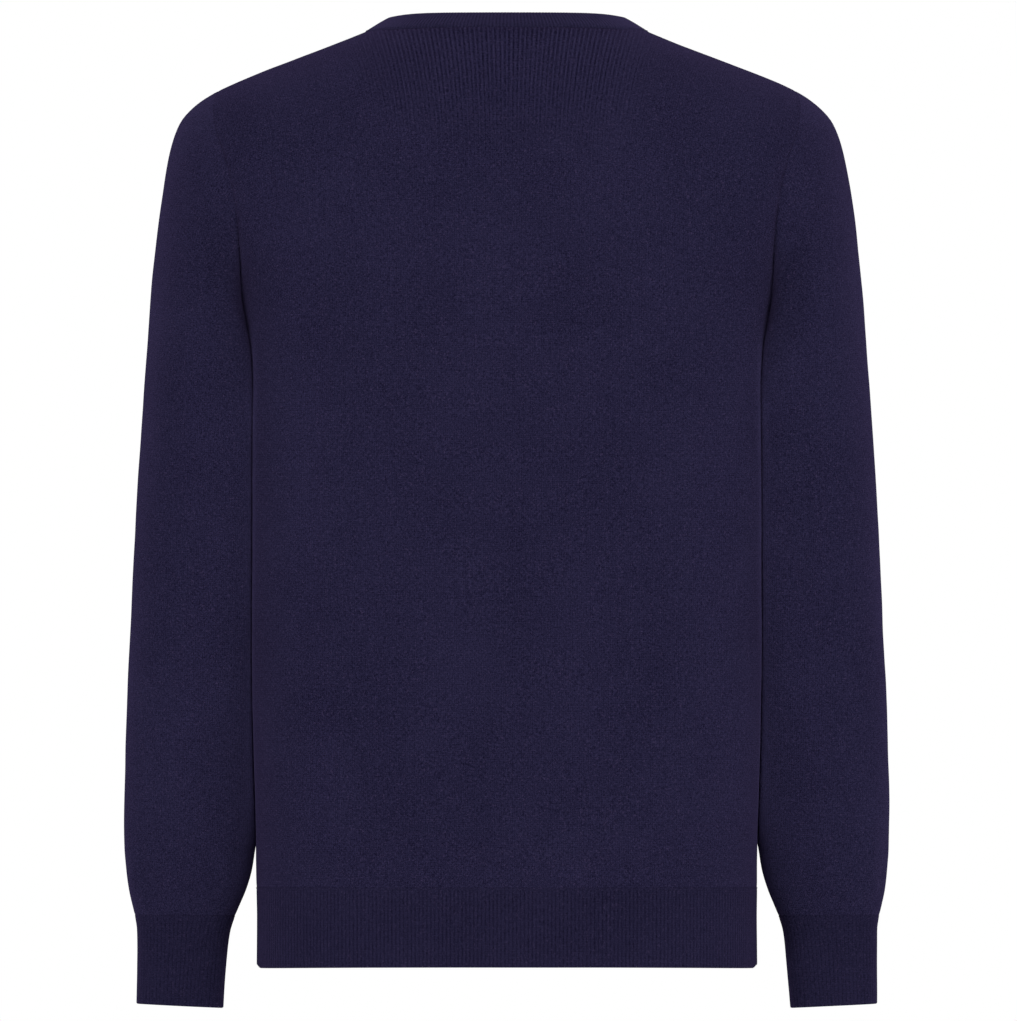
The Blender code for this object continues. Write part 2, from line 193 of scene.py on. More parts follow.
BROKEN_RIBS = 3.6  # how strongly the pulled ribs are broken up
FURROW_LIGHT = 0.27  # how light the knit is between the yarns
YARN_PAINTED_LIGHT = 0.30  # and how much lighter the yarns' tops are painted: painted shade in the furrows between them
FUZZ_SHARE = 0.6
PATCH_LIGHT = 0.3
VIOLET_SHARE = 0.7
FIBRE_HEIGHT = 1.2  # of the loose fibres, against the yarn's
WOOL_SHADING = {
    "Specular IOR Level": 0.0,
    "Sheen Weight": 0.05,
    "Sheen Tint": (0.62, 0.4, 1.0, 1),
}


def named_columns(names, rows):
    """A table with a row for each section and a name for each column."""
    return dict(zip(names.split(), np.array(rows, float).T))


# The torso's level sections, in millimetres: half width, and depth behind and before the side seams.
TORSO = named_columns(
    "height  half_width  back  front",
    [
        (-672.5, 179.9, 113, 112),
        (-582, 180.5, 111, 113),
        (-530, 182.6, 109, 113.5),
        (-480, 184.8, 107, 114),
        (-409, 187.5, 106, 115),
        (-290, 191.5, 109, 117),
        (-216, 193, 112, 118),
        (-196, 196, 112.5, 118),
        (-170, 201, 113, 117.5),
        (-140, 214, 112, 115),
        (-110, 226, 110, 111),
        (-60, 236, 104, 104),
        (0, 240, 98, 92),
        (40, 240, 92, 84),
    ],
)

# The ridge over the shoulders, and how far below it the torso reaches its full depth, in millimetres
RIDGE = named_columns(
    "across  height  back_rounding  front_rounding",
    [
        (-30, 33, 117, 150),
        (0, 40, 122, 155),
        (30, 33, 117, 150),
        (60, 20, 108, 140),
        (102, 0, 92, 118),
        (150, -18.8, 74, 88),
        (194, -36, 64, 68),
        (208, -42.5, 62, 62),
    ],
)

# The soft upright folds low on the panels, in millimetres
BACK_FOLDS = named_columns(
    "across  lean  half_width  stands_out  fades_from  fades_to",
    [
        (-112, 0.04, 30, 3.2, -560, -440),
        (-62, 0.02, 20, -2.0, -600, -500),
        (28, -0.05, 34, -3.0, -560, -400),
        (82, -0.03, 18, 1.6, -615, -540),
        (124, -0.02, 20, 2.4, -600, -530),
    ],
)
FRONT_FOLDS = named_columns(
    "across  lean  half_width  stands_out  fades_from  fades_to",
    [
        (-120, -0.03, 24, 2.2, -580, -470),
        (-70, 0.03, 26, -2.6, -560, -410),
        (14, 0.05, 30, 3.0, -570, -430),
        (66, -0.02, 18, -1.8, -610, -520),
        (118, 0.04, 26, 2.6, -570, -450),
    ],
)

# The armhole seam, in millimetres, from the armpit to the shoulder tip
ARMHOLE = named_columns(
    "height  across",
    [
        (-216, 193),
        (-186, 191.5),
        (-142.6, 193),
        (-114, 197),
        (-91, 202.5),
        (-69, 209.5),
        (-54, 211),
        (-42.5, 208),
    ],
)

# Creases in the cloth, in millimetres: the line that each one follows, how far its middle bows to the
# side, its half width and how far it stands out. A trough is a crease that stands in.
CREASE_NAMES = "from_x  from_z  to_x  to_z  bow  half_width  stands_out"
BACK_CREASES = named_columns(
    CREASE_NAMES,
    [
        (168, -232, 96, -168, 6, 9, 1.1),
        (172, -262, 112, -216, 5, 11, -1.0),
        (166, -300, 118, -262, 4, 8, 0.7),
        (-166, -228, -104, -176, -6, 10, 0.9),
        (-170, -256, -92, -206, -7, 12, -1.2),
        (-162, -296, -126, -268, -3, 8, 0.6),
        (2, -148, -70, -84, 7, 17, 0.9),
        (-58, -176, -104, -142, 4, 18, -1.1),
        (-132, -186, -172, -230, 4, 15, -1.0),
        (164, -336, 82, -326, -3, 7, 0.6),
        (22, -372, -28, -370, 2, 7, 0.5),
        (128, -398, 74, -405, -2, 8, 0.6),
        (-36, -452, -92, -440, 4, 12, 0.5),
        (150, -470, 96, -500, 5, 14, -0.6),
        (70, -20, 122, -70, -5, 14, 0.6),
        (-66, -24, -118, -66, 5, 13, 0.6),
    ],
)
FRONT_CREASES = named_columns(
    CREASE_NAMES,
    [
        (166, -228, 92, -160, 7, 10, 1.2),
        (170, -258, 104, -204, 6, 12, -1.2),
        (160, -302, 122, -270, 3, 8, 0.7),
        (-168, -236, -88, -166, -8, 11, 1.1),
        (-166, -268, -110, -222, -4, 10, -1.0),
        (-160, -310, -112, -284, -3, 9, 0.6),
        (96, -96, 132, -150, -5, 13, 0.7),
        (-92, -88, -136, -146, 6, 14, 0.7),
        (34, -196, 66, -268, 5, 16, 0.8),
        (-28, -202, -60, -262, -4, 15, 0.7),
        (140, -352, 58, -338, -4, 8, 0.6),
        (-44, -392, -120, -404, 3, 9, 0.7),
        (60, -440, -14, -432, 4, 10, 0.5),
        (-120, -500, -156, -540, 3, 14, -0.7),
    ],
)


def smooth(xs, ys, at):
    """Reads a table along a smooth curve through its rows that never overshoots them."""
    xs, ys = np.asarray(xs, float), np.asarray(ys, float)
    at = np.clip(np.asarray(at, float), xs[0], xs[-1])
    step = np.diff(xs)
    rise = np.diff(ys) / step
    slope = np.zeros(len(xs))
    same_way = rise[:-1] * rise[1:] > 0
    weight = 2 * step[1:] + step[:-1], step[1:] + 2 * step[:-1]
    with np.errstate(divide="ignore", invalid="ignore"):
        mean = (weight[0] + weight[1]) / (weight[0] / rise[:-1] + weight[1] / rise[1:])
    slope[1:-1] = np.where(same_way, mean, 0)
    slope[0], slope[-1] = rise[0], rise[-1]
    i = np.clip(np.searchsorted(xs, at, side="right") - 1, 0, len(xs) - 2)
    t = (at - xs[i]) / step[i]
    return (
        ys[i] * (1 + 2 * t) * (1 - t) ** 2
        + ys[i + 1] * t**2 * (3 - 2 * t)
        + step[i] * (slope[i] * t * (1 - t) ** 2 - slope[i + 1] * t**2 * (1 - t))
    )


def table(rows, column, key, at):
    """A column of a millimetre table, read at heights or widths given in metres."""
    return smooth(rows[key], rows[column], np.asarray(at) / MM) * MM


def ridge_z(x):
    return table(RIDGE, "height", "across", np.abs(x))


def torso_y(x, z, side):
    """How far the torso stands out in front (side -1) or behind (side 1) at x, z."""
    half_width = table(TORSO, "half_width", "height", z)
    depth = table(TORSO, "back" if side > 0 else "front", "height", z)
    across = np.clip(np.abs(x) / half_width, 0, 1)
    full = depth * (1 - across**SECTION_POWER) ** (1 / SECTION_POWER)
    rounding = table(RIDGE, "back_rounding" if side > 0 else "front_rounding", "across", np.abs(x))
    below = np.clip((ridge_z(x) - z) / rounding, 0, 1)
    return side * (full * np.sqrt(1 - (1 - below) ** 2) + folds_out(x, z, side))


def folds_out(x, z, side):
    """How far the upright folds stand out of the panel at x, z."""
    folds = BACK_FOLDS if side > 0 else FRONT_FOLDS
    out = 0
    for across, lean, half_width, stands_out, fades_from, fades_to in zip(*folds.values()):
        off = (x / MM - across - lean * (z - HEM_Z) / MM) / half_width
        fade = np.clip((fades_to - z / MM) / (fades_to - fades_from), 0, 1)
        out = out + stands_out * MM * np.exp(-(off**2)) * fade**2 * (3 - 2 * fade)
    return out


def creases_out(creases, x, z):
    """How far the creases stand out at a place on a piece, which may also be measured round a sleeve."""
    out = np.zeros(np.shape(x))
    for from_x, from_z, to_x, to_z, bow, half_width, stands_out in zip(*creases.values()):
        way = np.array([to_x - from_x, to_z - from_z])
        length = np.hypot(*way)
        way /= length
        dx, dz = x / MM - from_x, z / MM - from_z
        along = np.clip((dx * way[0] + dz * way[1]) / length, 0, 1)
        off = dz * way[0] - dx * way[1] - bow * np.sin(np.pi * along)
        out += stands_out * MM * np.exp(-((off / half_width) ** 2)) * np.sin(np.pi * along) ** 0.8
    return out


def ripple(points):
    """The faint unevenness of cloth that nothing presses flat."""
    flat = points.reshape(-1, 3)
    out = sum(
        height * np.array([noise.noise(p) for p in flat / size]) for size, height in RIPPLES
    )
    return out.reshape(points.shape[:-1])


def spread(length, count, edge_steps):
    """Shares of a length: even steps, then the narrow ones that end at a seam."""
    even = np.linspace(0, length - edge_steps.sum(), count - len(edge_steps) + 1)
    return np.concatenate([even, even[-1] + np.cumsum(edge_steps)]) / length


def smoothstep(t):
    t = np.clip(t, 0, 1)
    return t**2 * (3 - 2 * t)


def back_neck_z(x):
    return BACK_NECK_RISE * (1 - (np.abs(x) / NECK_HALF_WIDTH) ** 6)


def front_neck_z(x):
    return -V_DEPTH * (1 - np.abs(x) / NECK_HALF_WIDTH)


def run(points, axis):
    """How far along a row or column of a grid each point lies."""
    steps = np.linalg.norm(np.diff(points, axis=axis), axis=-1)
    start = np.zeros_like(np.take(steps, [0], axis=axis))
    return np.concatenate([start, np.cumsum(steps, axis=axis)], axis=axis)


def round_section(side, z, count):
    """Points from the middle to the side seam of a level section, close enough to measure along."""
    turn = np.linspace(0, np.pi / 2, count)
    x = np.sin(turn) ** (2 / SECTION_POWER) * table(TORSO, "half_width", "height", z)
    return np.stack([x, torso_y(x, np.full(count, z), side), np.full(count, z)], axis=-1)


def level_shares(side, z, count, edge_steps):
    """Shares of the half width at which columns lie evenly along a level section."""
    section = round_section(side, z, SECTION_POINTS)
    along = run(section, 0)
    at = spread(along[-1], count, edge_steps) * along[-1]
    shares = np.interp(at, along, section[:, 0]) / section[-1, 0]
    return np.concatenate([-shares[:0:-1], shares])


def armhole_point(share, side):
    """A point on the armhole seam, share of its height above the armpit."""
    z = ARMPIT_Z + share * (TIP_Z - ARMPIT_Z)
    x = table(ARMHOLE, "across", "height", z)
    y = np.where((share <= 0) | (share >= 1), 0, torso_y(x, z, side))
    return np.stack([x, y, z], axis=-1)


def panel_grid(side):
    """The outer face of the back (side 1) or front (side -1), row by row from the hem rib."""
    low = level_shares(side, ARMPIT_Z, NECK_COLUMNS + SHOULDER_COLUMNS, EDGE_STEPS)
    neck = NECK_HALF_WIDTH / TIP_HALF_WIDTH
    to_neck = np.linspace(0, neck, NECK_COLUMNS + 1)
    to_side = neck + (1 - neck) * spread(TIP_HALF_WIDTH - NECK_HALF_WIDTH, SHOULDER_COLUMNS, EDGE_STEPS)
    high = np.concatenate([to_neck, to_side[1:]])
    high = np.concatenate([-high[:0:-1], high])

    top_x = high * TIP_HALF_WIDTH
    in_neck = np.abs(top_x) < NECK_HALF_WIDTH - 1e-6
    neck_z = back_neck_z(top_x) if side > 0 else front_neck_z(top_x)
    top_z = np.where(in_neck, neck_z, ridge_z(top_x))
    top_z[[0, -1]] = TIP_Z

    # Rows lie evenly along the curve of the shoulder, and evenly in height below the neckline
    x = np.full(SHOULDER_POINTS, (NECK_HALF_WIDTH + TIP_HALF_WIDTH) / 2)
    rise = np.sin(np.linspace(0, np.pi / 2, SHOULDER_POINTS)) * (ridge_z(x[0]) - ARMPIT_Z)
    shoulder = np.stack([x, torso_y(x, ARMPIT_Z + rise, side), ARMPIT_Z + rise], axis=-1)
    along = run(shoulder, 0)
    at = spread(along[-1], UPPER_ROWS, EDGE_STEPS) * along[-1]
    on_shoulder = np.interp(at, along, rise) / rise[-1]
    on_shoulder[-1] = 1
    at_neck = spread(-ARMPIT_Z - (V_DEPTH / 2 if side < 0 else 0), UPPER_ROWS, EDGE_STEPS)
    outward = smoothstep((np.abs(top_x) / NECK_HALF_WIDTH - 0.55) / 0.45)

    rows = []
    down = spread(ARMPIT_Z - RIB_TOP_Z, LOWER_ROWS, EDGE_STEPS)[::-1]
    for z in ARMPIT_Z + down * (RIB_TOP_Z - ARMPIT_Z):
        row_z = np.full(len(low), z)
        x = low * table(TORSO, "half_width", "height", row_z)
        y = torso_y(x, row_z, side)
        y[[0, -1]] = 0
        rows.append(np.stack([x, y, row_z], axis=-1))
    for from_shoulder, from_neck in zip(on_shoulder[1:], at_neck[1:]):
        edge = armhole_point(from_shoulder, side)
        turned = smoothstep((edge[2] - COLUMNS_TURN_FROM) / (COLUMNS_TURN_TO - COLUMNS_TURN_FROM))
        x = ((1 - turned) * low + turned * high) * edge[0]
        share = (1 - outward) * from_neck + outward * from_shoulder
        z = ARMPIT_Z + share * (top_z - ARMPIT_Z)
        rows.append(np.stack([x, torso_y(x, z, side), z], axis=-1))
    rows[-1][~in_neck, 1] = 0
    return np.array(rows)


def normals_of(grid, closed):
    """Unit normals of a grid, pointing out of the garment where its columns run the right way."""
    if closed:
        along = np.roll(grid, -1, axis=1) - np.roll(grid, 1, axis=1)
    else:
        along = np.gradient(grid, axis=1)
    normal = np.cross(along, np.gradient(grid, axis=0))
    length = np.linalg.norm(normal, axis=-1, keepdims=True)
    return normal / np.maximum(length, 1e-15)


def seam_groove(to_seam, depth=SEAM_DEPTH, reach=SEAM_REACH):
    """How far the cloth turns in at a distance from a seam."""
    return -depth * np.exp(-((to_seam / reach) ** 2))


def neck_depth(x):
    """How deep the cloth turns in at the top edge: deepest behind the neck, hardly at the shoulders."""
    return JOIN_DEPTH + (NECK_DEPTH - JOIN_DEPTH) * smoothstep((NECK_DEEP_TO - np.abs(x)) / NECK_DEEP_FADE)


def seam_normals(points):
    """The torso's unit normals at a seam, the same for both pieces that meet there."""
    x, y, z = np.moveaxis(points, -1, 0)
    step = 0.5 * MM
    faces = []
    for side in (1, -1):
        across = (torso_y(x + step, z, side) - torso_y(x - step, z, side)) / (2 * step)
        up = (torso_y(x, z + step, side) - torso_y(x, z - step, side)) / (2 * step)
        face = np.stack([-across, np.ones_like(x), -up], axis=-1) * side
        faces.append(face / np.linalg.norm(face, axis=-1, keepdims=True))
    behind = np.clip(0.5 + y / SEAM_BLEND, 0, 1)[..., None]
    mean = behind * faces[0] + (1 - behind) * faces[1]
    return mean / np.linalg.norm(mean, axis=-1, keepdims=True)


def round_edge(outer, inner, inside):
    """The rounded rim between the two faces' last rows."""
    way = outer - inside
    way /= np.linalg.norm(way, axis=-1, keepdims=True)
    middle, half = (outer + inner) / 2, (outer - inner) / 2
    depth = np.linalg.norm(half, axis=-1, keepdims=True)
    return [middle + np.cos(a) * half + np.sin(a) * depth * way for a in np.radians((45, 90, 135))]


def keep_values(mesh, label, kind, values):
    """Keeps a value or a direction at each of the mesh's points."""
    kept = mesh.attributes.new(label, kind, "POINT")
    kept.data.foreach_set("vector" if kind == "FLOAT_VECTOR" else "value", values.ravel())


def knitted_piece(
    name,
    outer,
    normals,
    wall,
    place,
    closed,
    pull,
    wales=None,
    linked=0,
    painted_light_and_tone=0.0,
    free_first=False,
    free_last=False,
):
    """A closed wall as one object: along its outer face, over its last edge and back along its inner face.

    place is the knit's own map, across and along the stitches in metres. pull says how far fine ribs stand
    out at each point, wales counts the ribs across a ribbed piece, and linked is the row of the outer face
    that its linking stitches lie on. tone makes the yarn lighter or darker: painted light and shade, and
    partly the yarn's own colour. A free edge is rounded.
    """
    inner = outer - normals * wall
    rows, columns = outer.shape[:2]
    sections = list(outer)
    taken = list(range(rows))
    facing = [1.0] * rows
    if free_last:
        sections += round_edge(outer[-1], inner[-1], outer[-2])
        taken += [rows - 1] * 3
        facing += [0.7, 0.0, -0.7]
    sections += list(inner[::-1])
    taken += list(range(rows))[::-1]
    facing += [-1.0] * rows
    if free_first:
        sections += round_edge(inner[0], outer[0], inner[1])
        taken += [0] * 3
        facing += [-0.7, 0.0, 0.7]
    sections, taken, facing = np.array(sections), np.array(taken), np.array(facing)
    count = len(sections)

    s, c = np.meshgrid(np.arange(count), np.arange(columns if closed else columns - 1), indexing="ij")
    s, c = s.ravel(), c.ravel()
    after = (s + 1) % count
    quads = [(s, c), (after, c), (after, c + 1), (s, c + 1)]
    ends = []
    if not closed:
        # The strips that close the two side edges, and the rims' ends
        r = np.arange(rows - 1)
        back = 2 * rows - 1 + (3 if free_last else 0) - r
        for side_column in (0, columns - 1):
            same = np.full(rows - 1, side_column)
            strip = [(r, same), (r + 1, same), (back - 1, same), (back, same)]
            quads = [
                (np.concatenate([q[0], t[0]]), np.concatenate([q[1], t[1]])) for q, t in zip(quads, strip)
            ]
            if free_last:
                ends.append([(rows - 1 + k, side_column) for k in range(5)])
            if free_first:
                ends.append([((count - 4 + k) % count, side_column) for k in range(5)])
    faces = np.stack([q[0] * columns + q[1] % columns for q in quads], axis=-1).tolist()
    corners = np.stack([taken[q[0]] * place.shape[1] + q[1] for q in quads], axis=-1).ravel().tolist()
    for end in ends:
        faces.append([k * columns + m for k, m in end])
        corners += [int(taken[k]) * place.shape[1] + m for k, m in end]

    mesh = bpy.data.meshes.new(name)
    mesh.from_pydata(sections.reshape(-1, 3).tolist(), [], faces)
    stitches = mesh.uv_layers.new(name="knit")
    stitches.uv.foreach_set("vector", place.reshape(-1, 2)[corners].astype(np.float32).ravel())
    toned = np.broadcast_to(painted_light_and_tone, (rows, columns))
    keep_values(mesh, "pull", "FLOAT", pull[taken].astype(np.float32))
    keep_values(mesh, "painted_light_and_tone", "FLOAT", toned[taken].astype(np.float32))
    if wales is not None:
        # Between two ribs of the outer face lies a rib of the inner one
        counted = wales[taken] + np.where(facing < 0, 0.5, 0.0)[:, None]
        keep_values(mesh, "wale", "FLOAT", counted.astype(np.float32))
        outward = normals[taken] * facing[:, None, None] * pull[taken][..., None]
        keep_values(mesh, "outward", "FLOAT_VECTOR", outward.astype(np.float32))
        on_row = np.arange(count)[:, None] == np.full(columns, linked)
        keep_values(mesh, "linked", "BOOLEAN", on_row)
    solid = bmesh.new()
    solid.from_mesh(mesh)
    bmesh.ops.recalc_face_normals(solid, faces=solid.faces)
    solid.to_mesh(mesh)
    solid.free()
    mesh.shade_smooth()
    piece = bpy.data.objects.new(name, mesh)
    bpy.context.scene.collection.objects.link(piece)
    return piece


def out_of(normals, outward):
    """The same normals, turned round if they point into the garment."""
    return normals if np.sum(normals * outward) > 0 else -normals


def panel(name, side, creases):
    """One panel with its creases, its grooved seams and the map of its stitches."""
    grid = panel_grid(side)
    normals = out_of(normals_of(grid, False), grid * (1, 1, 0))
    for edge in (np.s_[0], np.s_[-1], np.s_[:, 0], np.s_[:, -1]):
        normals[edge] = seam_normals(grid[edge])
    up, across = run(grid, 0), run(grid, 1)
    to_seam = np.minimum.reduce([up[-1:] - up, across, across[:, -1:] - across])
    inward = smoothstep((np.minimum(to_seam, up) - SEAM_MARGIN) / CREASE_RISE)
    x, z = grid[..., 0], grid[..., 2]
    at_sides = np.minimum(across, across[:, -1:] - across)
    out = creases_out(creases, x, z) * inward + ripple(grid)
    out += seam_groove(at_sides) + seam_groove(up, JOIN_DEPTH)
    out += seam_groove(up[-1:] - up, neck_depth(x), NECK_REACH)
    outer = grid + normals * out[..., None]

    # Stitches keep their width, so the map adds what the section's curve is longer than its width
    section = round_section(side, ARMPIT_Z, LENGTH_POINTS)
    share = section[:, 0] / section[-1, 0]
    more = np.interp(np.abs(x) / np.abs(x).max(axis=1, keepdims=True), share, run(section, 0) - section[:, 0])
    fade = smoothstep((TIP_Z - z) / (TIP_Z - ARMPIT_Z))
    fan = PULL_FAN * np.clip(1 + z / PULL_REACH, 0, 1.2) ** 2
    u = (x + np.sign(x) * more * fade) / (1 + fan)
    place = np.stack([u, up], axis=-1)

    # The neckband draws up the stitches below it
    below_neck = -z if side > 0 else (front_neck_z(x) - z) * V_SLANT
    reach = np.exp(-((np.maximum(below_neck, 0) / PULL_DEPTH) ** 2))
    pull = reach * smoothstep((PULL_HALF_WIDTH - np.abs(x)) / PULL_SIDE_FADE)
    if side < 0:
        pull = pull * FRONT_PULL
    # Painted shade below the neckband, deepest behind the neck, with the darker drawn-in stitches along its
    # seam
    painted_light_and_tone = NECK_PAINTED_SHADE * np.exp(-(((up[-1:] - up) / NECK_PAINTED_SHADE_REACH) ** 2)) * (neck_depth(x) / NECK_DEPTH)
    # Painted shade in soft patches beside the shoulder tips and low down
    for patch_x, patch_z, reach_x, reach_z, shade in zip(*PAINTED_SHADE_PATCHES.values()):
        off = ((x * side / MM - patch_x) / reach_x) ** 2 + ((z / MM - patch_z) / reach_z) ** 2
        painted_light_and_tone = painted_light_and_tone + shade * np.exp(-off)
    return knitted_piece(name, outer, normals, KNIT_WALL, place, False, pull, painted_light_and_tone=painted_light_and_tone)


def math(tree, operation, a, b=0.0, c=0.0):
    """One sum in a node tree."""
    return add(tree, "ShaderNodeMath", {0: a, 1: b, 2: c}, operation=operation).outputs[0]


def group_of(name, inputs, outputs):
    """An empty shader group, with its sockets, its input node and its output node."""
    tree = bpy.data.node_groups.new(name, "ShaderNodeTree")
    for label, kind in inputs:
        tree.interface.new_socket(label, in_out="INPUT", socket_type=kind)
    for label in outputs:
        tree.interface.new_socket(label, in_out="OUTPUT", socket_type="NodeSocketFloat")
    return tree, add(tree, "NodeGroupInput").outputs, add(tree, "NodeGroupOutput")


def plain_stitches():
    """Rows of V-shaped stitches: how high the yarn stands, on a map in metres."""
    tree, given, out = group_of(
        "plain stitches",
        [("Map", "NodeSocketVector"), ("Wale", "NodeSocketFloat"), ("Course", "NodeSocketFloat")],
        ["Yarn"],
    )
    place = add(tree, "ShaderNodeSeparateXYZ", {0: given["Map"]}).outputs
    wale = math(tree, "DIVIDE", place["X"], given["Wale"])
    course = math(tree, "DIVIDE", place["Y"], given["Course"])
    whole = math(tree, "ROUND", wale)
    off = math(tree, "ABSOLUTE", math(tree, "SUBTRACT", wale, whole))
    # Each arm of a V climbs by half a course or so from the wale's middle to its edge
    leg = math(tree, "FRACT", math(tree, "SUBTRACT", course, math(tree, "MULTIPLY", off, LEG_CLIMB)))
    along_leg = math(tree, "SINE", math(tree, "MULTIPLY", leg, np.pi))
    across_leg = math(tree, "SINE", math(tree, "MULTIPLY_ADD", off, ARM_SPREAD * np.pi, ARM_FROM * np.pi))
    round_leg = math(tree, "POWER", math(tree, "MAXIMUM", along_leg, 0.0), 0.6)
    round_arm = math(tree, "POWER", math(tree, "MAXIMUM", across_leg, 0.0), 0.8)
    tree.links.new(math(tree, "MULTIPLY", round_leg, round_arm), out.inputs["Yarn"])
    return tree


def wool_nap():
    """The haze of loose fibres, lighter and darker flecks of yarn, violet ones, and broad uneven patches."""
    tree, given, out = group_of(
        "wool nap", [("Place", "NodeSocketVector")], ["Fibre", "Fleck", "Violet", "Broken", "Patch"]
    )
    grains = (("Fibre", 1700.0, 1.0), ("Fleck", 900.0, 2.0), ("Broken", 240.0, 2.0), ("Patch", 15.0, 3.0))
    for label, scale, detail in grains:
        speckle = add(
            tree, "ShaderNodeTexNoise", {"Vector": given["Place"], "Scale": scale, "Detail": detail}
        )
        tree.links.new(math(tree, "SUBTRACT", speckle.outputs["Fac"], 0.5), out.inputs[label])
    dyed = add(tree, "ShaderNodeTexNoise", {"Vector": given["Place"], "Scale": 880.0, "Detail": 1.0})
    rare = add(tree, "ShaderNodeMapRange", {"Value": dyed.outputs["Fac"], "From Min": 0.6, "From Max": 0.74})
    tree.links.new(rare.outputs[0], out.inputs["Violet"])
    return tree


PLAIN_STITCHES = plain_stitches()
WOOL_NAP = wool_nap()


def knit_material(name, deep, fibre, violet, wale, course, relief, pull_wale, rib_painted_light, fleck_light):
    """Woollen yarn: V stitches on the piece's own map, with flecks, nap and a soft sheen."""
    material = bpy.data.materials.new(name)
    material.use_nodes = True
    tree = material.node_tree
    tree.nodes.clear()
    stitch_map = add(tree, "ShaderNodeUVMap", uv_map="knit").outputs[0]
    place = add(tree, "ShaderNodeTexCoord").outputs["Object"]
    stitch = add(tree, "ShaderNodeGroup", node_tree=PLAIN_STITCHES)
    tree.links.new(stitch_map, stitch.inputs["Map"])
    stitch.inputs["Wale"].default_value = wale
    stitch.inputs["Course"].default_value = course
    group = add(tree, "ShaderNodeGroup", node_tree=WOOL_NAP)
    tree.links.new(place, group.inputs["Place"])
    nap = group.outputs
    yarn = stitch.outputs["Yarn"]

    # Fine upright ribs where a neighbouring piece pulls the stitches up, broken here and there
    pull = add(tree, "ShaderNodeAttribute", attribute_name="pull", attribute_type="GEOMETRY").outputs["Fac"]
    across = add(tree, "ShaderNodeSeparateXYZ", {0: stitch_map}).outputs["X"]
    rib = math(tree, "COSINE", math(tree, "MULTIPLY", across, 2 * np.pi / pull_wale))
    uneven = math(tree, "MULTIPLY_ADD", nap["Broken"], BROKEN_RIBS, 1.0)
    pulled_rib = math(tree, "MULTIPLY", rib, math(tree, "MULTIPLY", pull, uneven))

    # The furrows between yarns and between ribs are painted darker and their tops lighter: painted shade of
    # the knit's relief, besides its bump
    yarn_painted_light = math(tree, "MULTIPLY_ADD", yarn, YARN_PAINTED_LIGHT, FURROW_LIGHT)
    fleck = math(tree, "MULTIPLY_ADD", nap["Fleck"], fleck_light, yarn_painted_light)
    fuzz = math(tree, "MULTIPLY_ADD", nap["Fibre"], FUZZ_SHARE * fleck_light, fleck)
    patch = math(tree, "MULTIPLY_ADD", nap["Patch"], PATCH_LIGHT, fuzz)
    # Painted light and shade, and partly the yarn's own lighter or darker colour, kept at the mesh's points
    painted_light_and_tone = add(tree, "ShaderNodeAttribute", attribute_name="painted_light_and_tone", attribute_type="GEOMETRY").outputs["Fac"]
    light = math(tree, "MULTIPLY_ADD", pulled_rib, rib_painted_light, math(tree, "ADD", patch, painted_light_and_tone))
    colour = add(tree, "ShaderNodeMix", data_type="RGBA", clamp_factor=False)
    tree.links.new(math(tree, "MAXIMUM", light, 0.0), colour.inputs["Factor"])
    colour.inputs[6].default_value = deep
    colour.inputs[7].default_value = fibre
    dyed = add(tree, "ShaderNodeMix", data_type="RGBA", clamp_factor=True)
    tree.links.new(math(tree, "MULTIPLY", nap["Violet"], VIOLET_SHARE), dyed.inputs["Factor"])
    tree.links.new(colour.outputs[2], dyed.inputs[6])
    dyed.inputs[7].default_value = violet

    raised = math(tree, "ADD", pulled_rib, yarn)
    height = math(tree, "MULTIPLY_ADD", nap["Fibre"], FIBRE_HEIGHT, raised)
    bump = add(tree, "ShaderNodeBump", {"Strength": 1.0, "Distance": relief, "Height": height})
    rough = math(tree, "MULTIPLY_ADD", nap["Fleck"], ROUGH_SPREAD, WOOL_ROUGHNESS)
    shader = add(
        tree,
        "ShaderNodeBsdfPrincipled",
        {
            "Base Color": dyed.outputs[2],
            "Roughness": rough,
            "Normal": bump.outputs["Normal"],
            "Sheen Roughness": 0.45,
            **WOOL_SHADING,
        },
    )
    add(tree, "ShaderNodeOutputMaterial", {"Surface": shader.outputs[0]})
    return material


plain_knit = knit_material(
    "plain_knit",
    NAVY_DEEP,
    NAVY_FIBRE,
    NAVY_VIOLET,
    WALE,
    COURSE,
    KNIT_RELIEF,
    PULL_WALE,
    PULL_PAINTED_LIGHT,
    FLECK_LIGHT,
)
back_panel = panel("back", 1, BACK_CREASES)
front_panel = panel("front", -1, FRONT_CREASES)
for piece, node, area in ((back_panel, "back_panel", 0.308), (front_panel, "front_panel", 0.289)):
    piece.data.materials.append(plain_knit)
    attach(piece, "root")
    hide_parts(node)


# Sleeves. Each is a plain knitted tube with one seam under the arm, set into the armhole. It hangs close
# beside the body, its underside shaped by it, and puffs a little over the cuff.
SLEEVE_ROWS = 204
HALF_RING = 60  # mesh columns from the outer edge to the underarm seam
SLEEVE_CLEARANCE = 0.6 * MM
OUTER_POWER = 2.15  # of the outer half of its rounded rings
CREASE_PAINTED_LIGHT = 1.15  # painted light where sleeve and body lie together, lifting the shade of their crease
CREASE_REACH = 2.6 * MM  # the gap between them at which about a third of that is left
CREASE_TOP = -140 * MM  # it starts below this height
CREASE_FADE = 36 * MM  # and is full this far below it
GAP_REACH = 6 * MM  # lower down, where the sleeve draws in and leaves a gap, it reaches further
GAP_FROM = -470 * MM
GAP_FADE = 90 * MM
CREASE_FROM = 150 * MM  # the nearest to the garment's middle that a sleeve comes
HEAD_PAINTED_LIGHT = 0.12  # a painted highlight makes the sleeve head lighter
HEAD_PAINTED_LIGHT_FROM = -92 * MM
HEAD_PAINTED_LIGHT_FADE = 36 * MM
HEAD_PULL = 0.25  # fine ribs below the armhole seam
HEAD_PULL_REACH = 45 * MM
HEAD_PULL_BELOW = -90 * MM
SLEEVE_LENGTH = 610 * MM
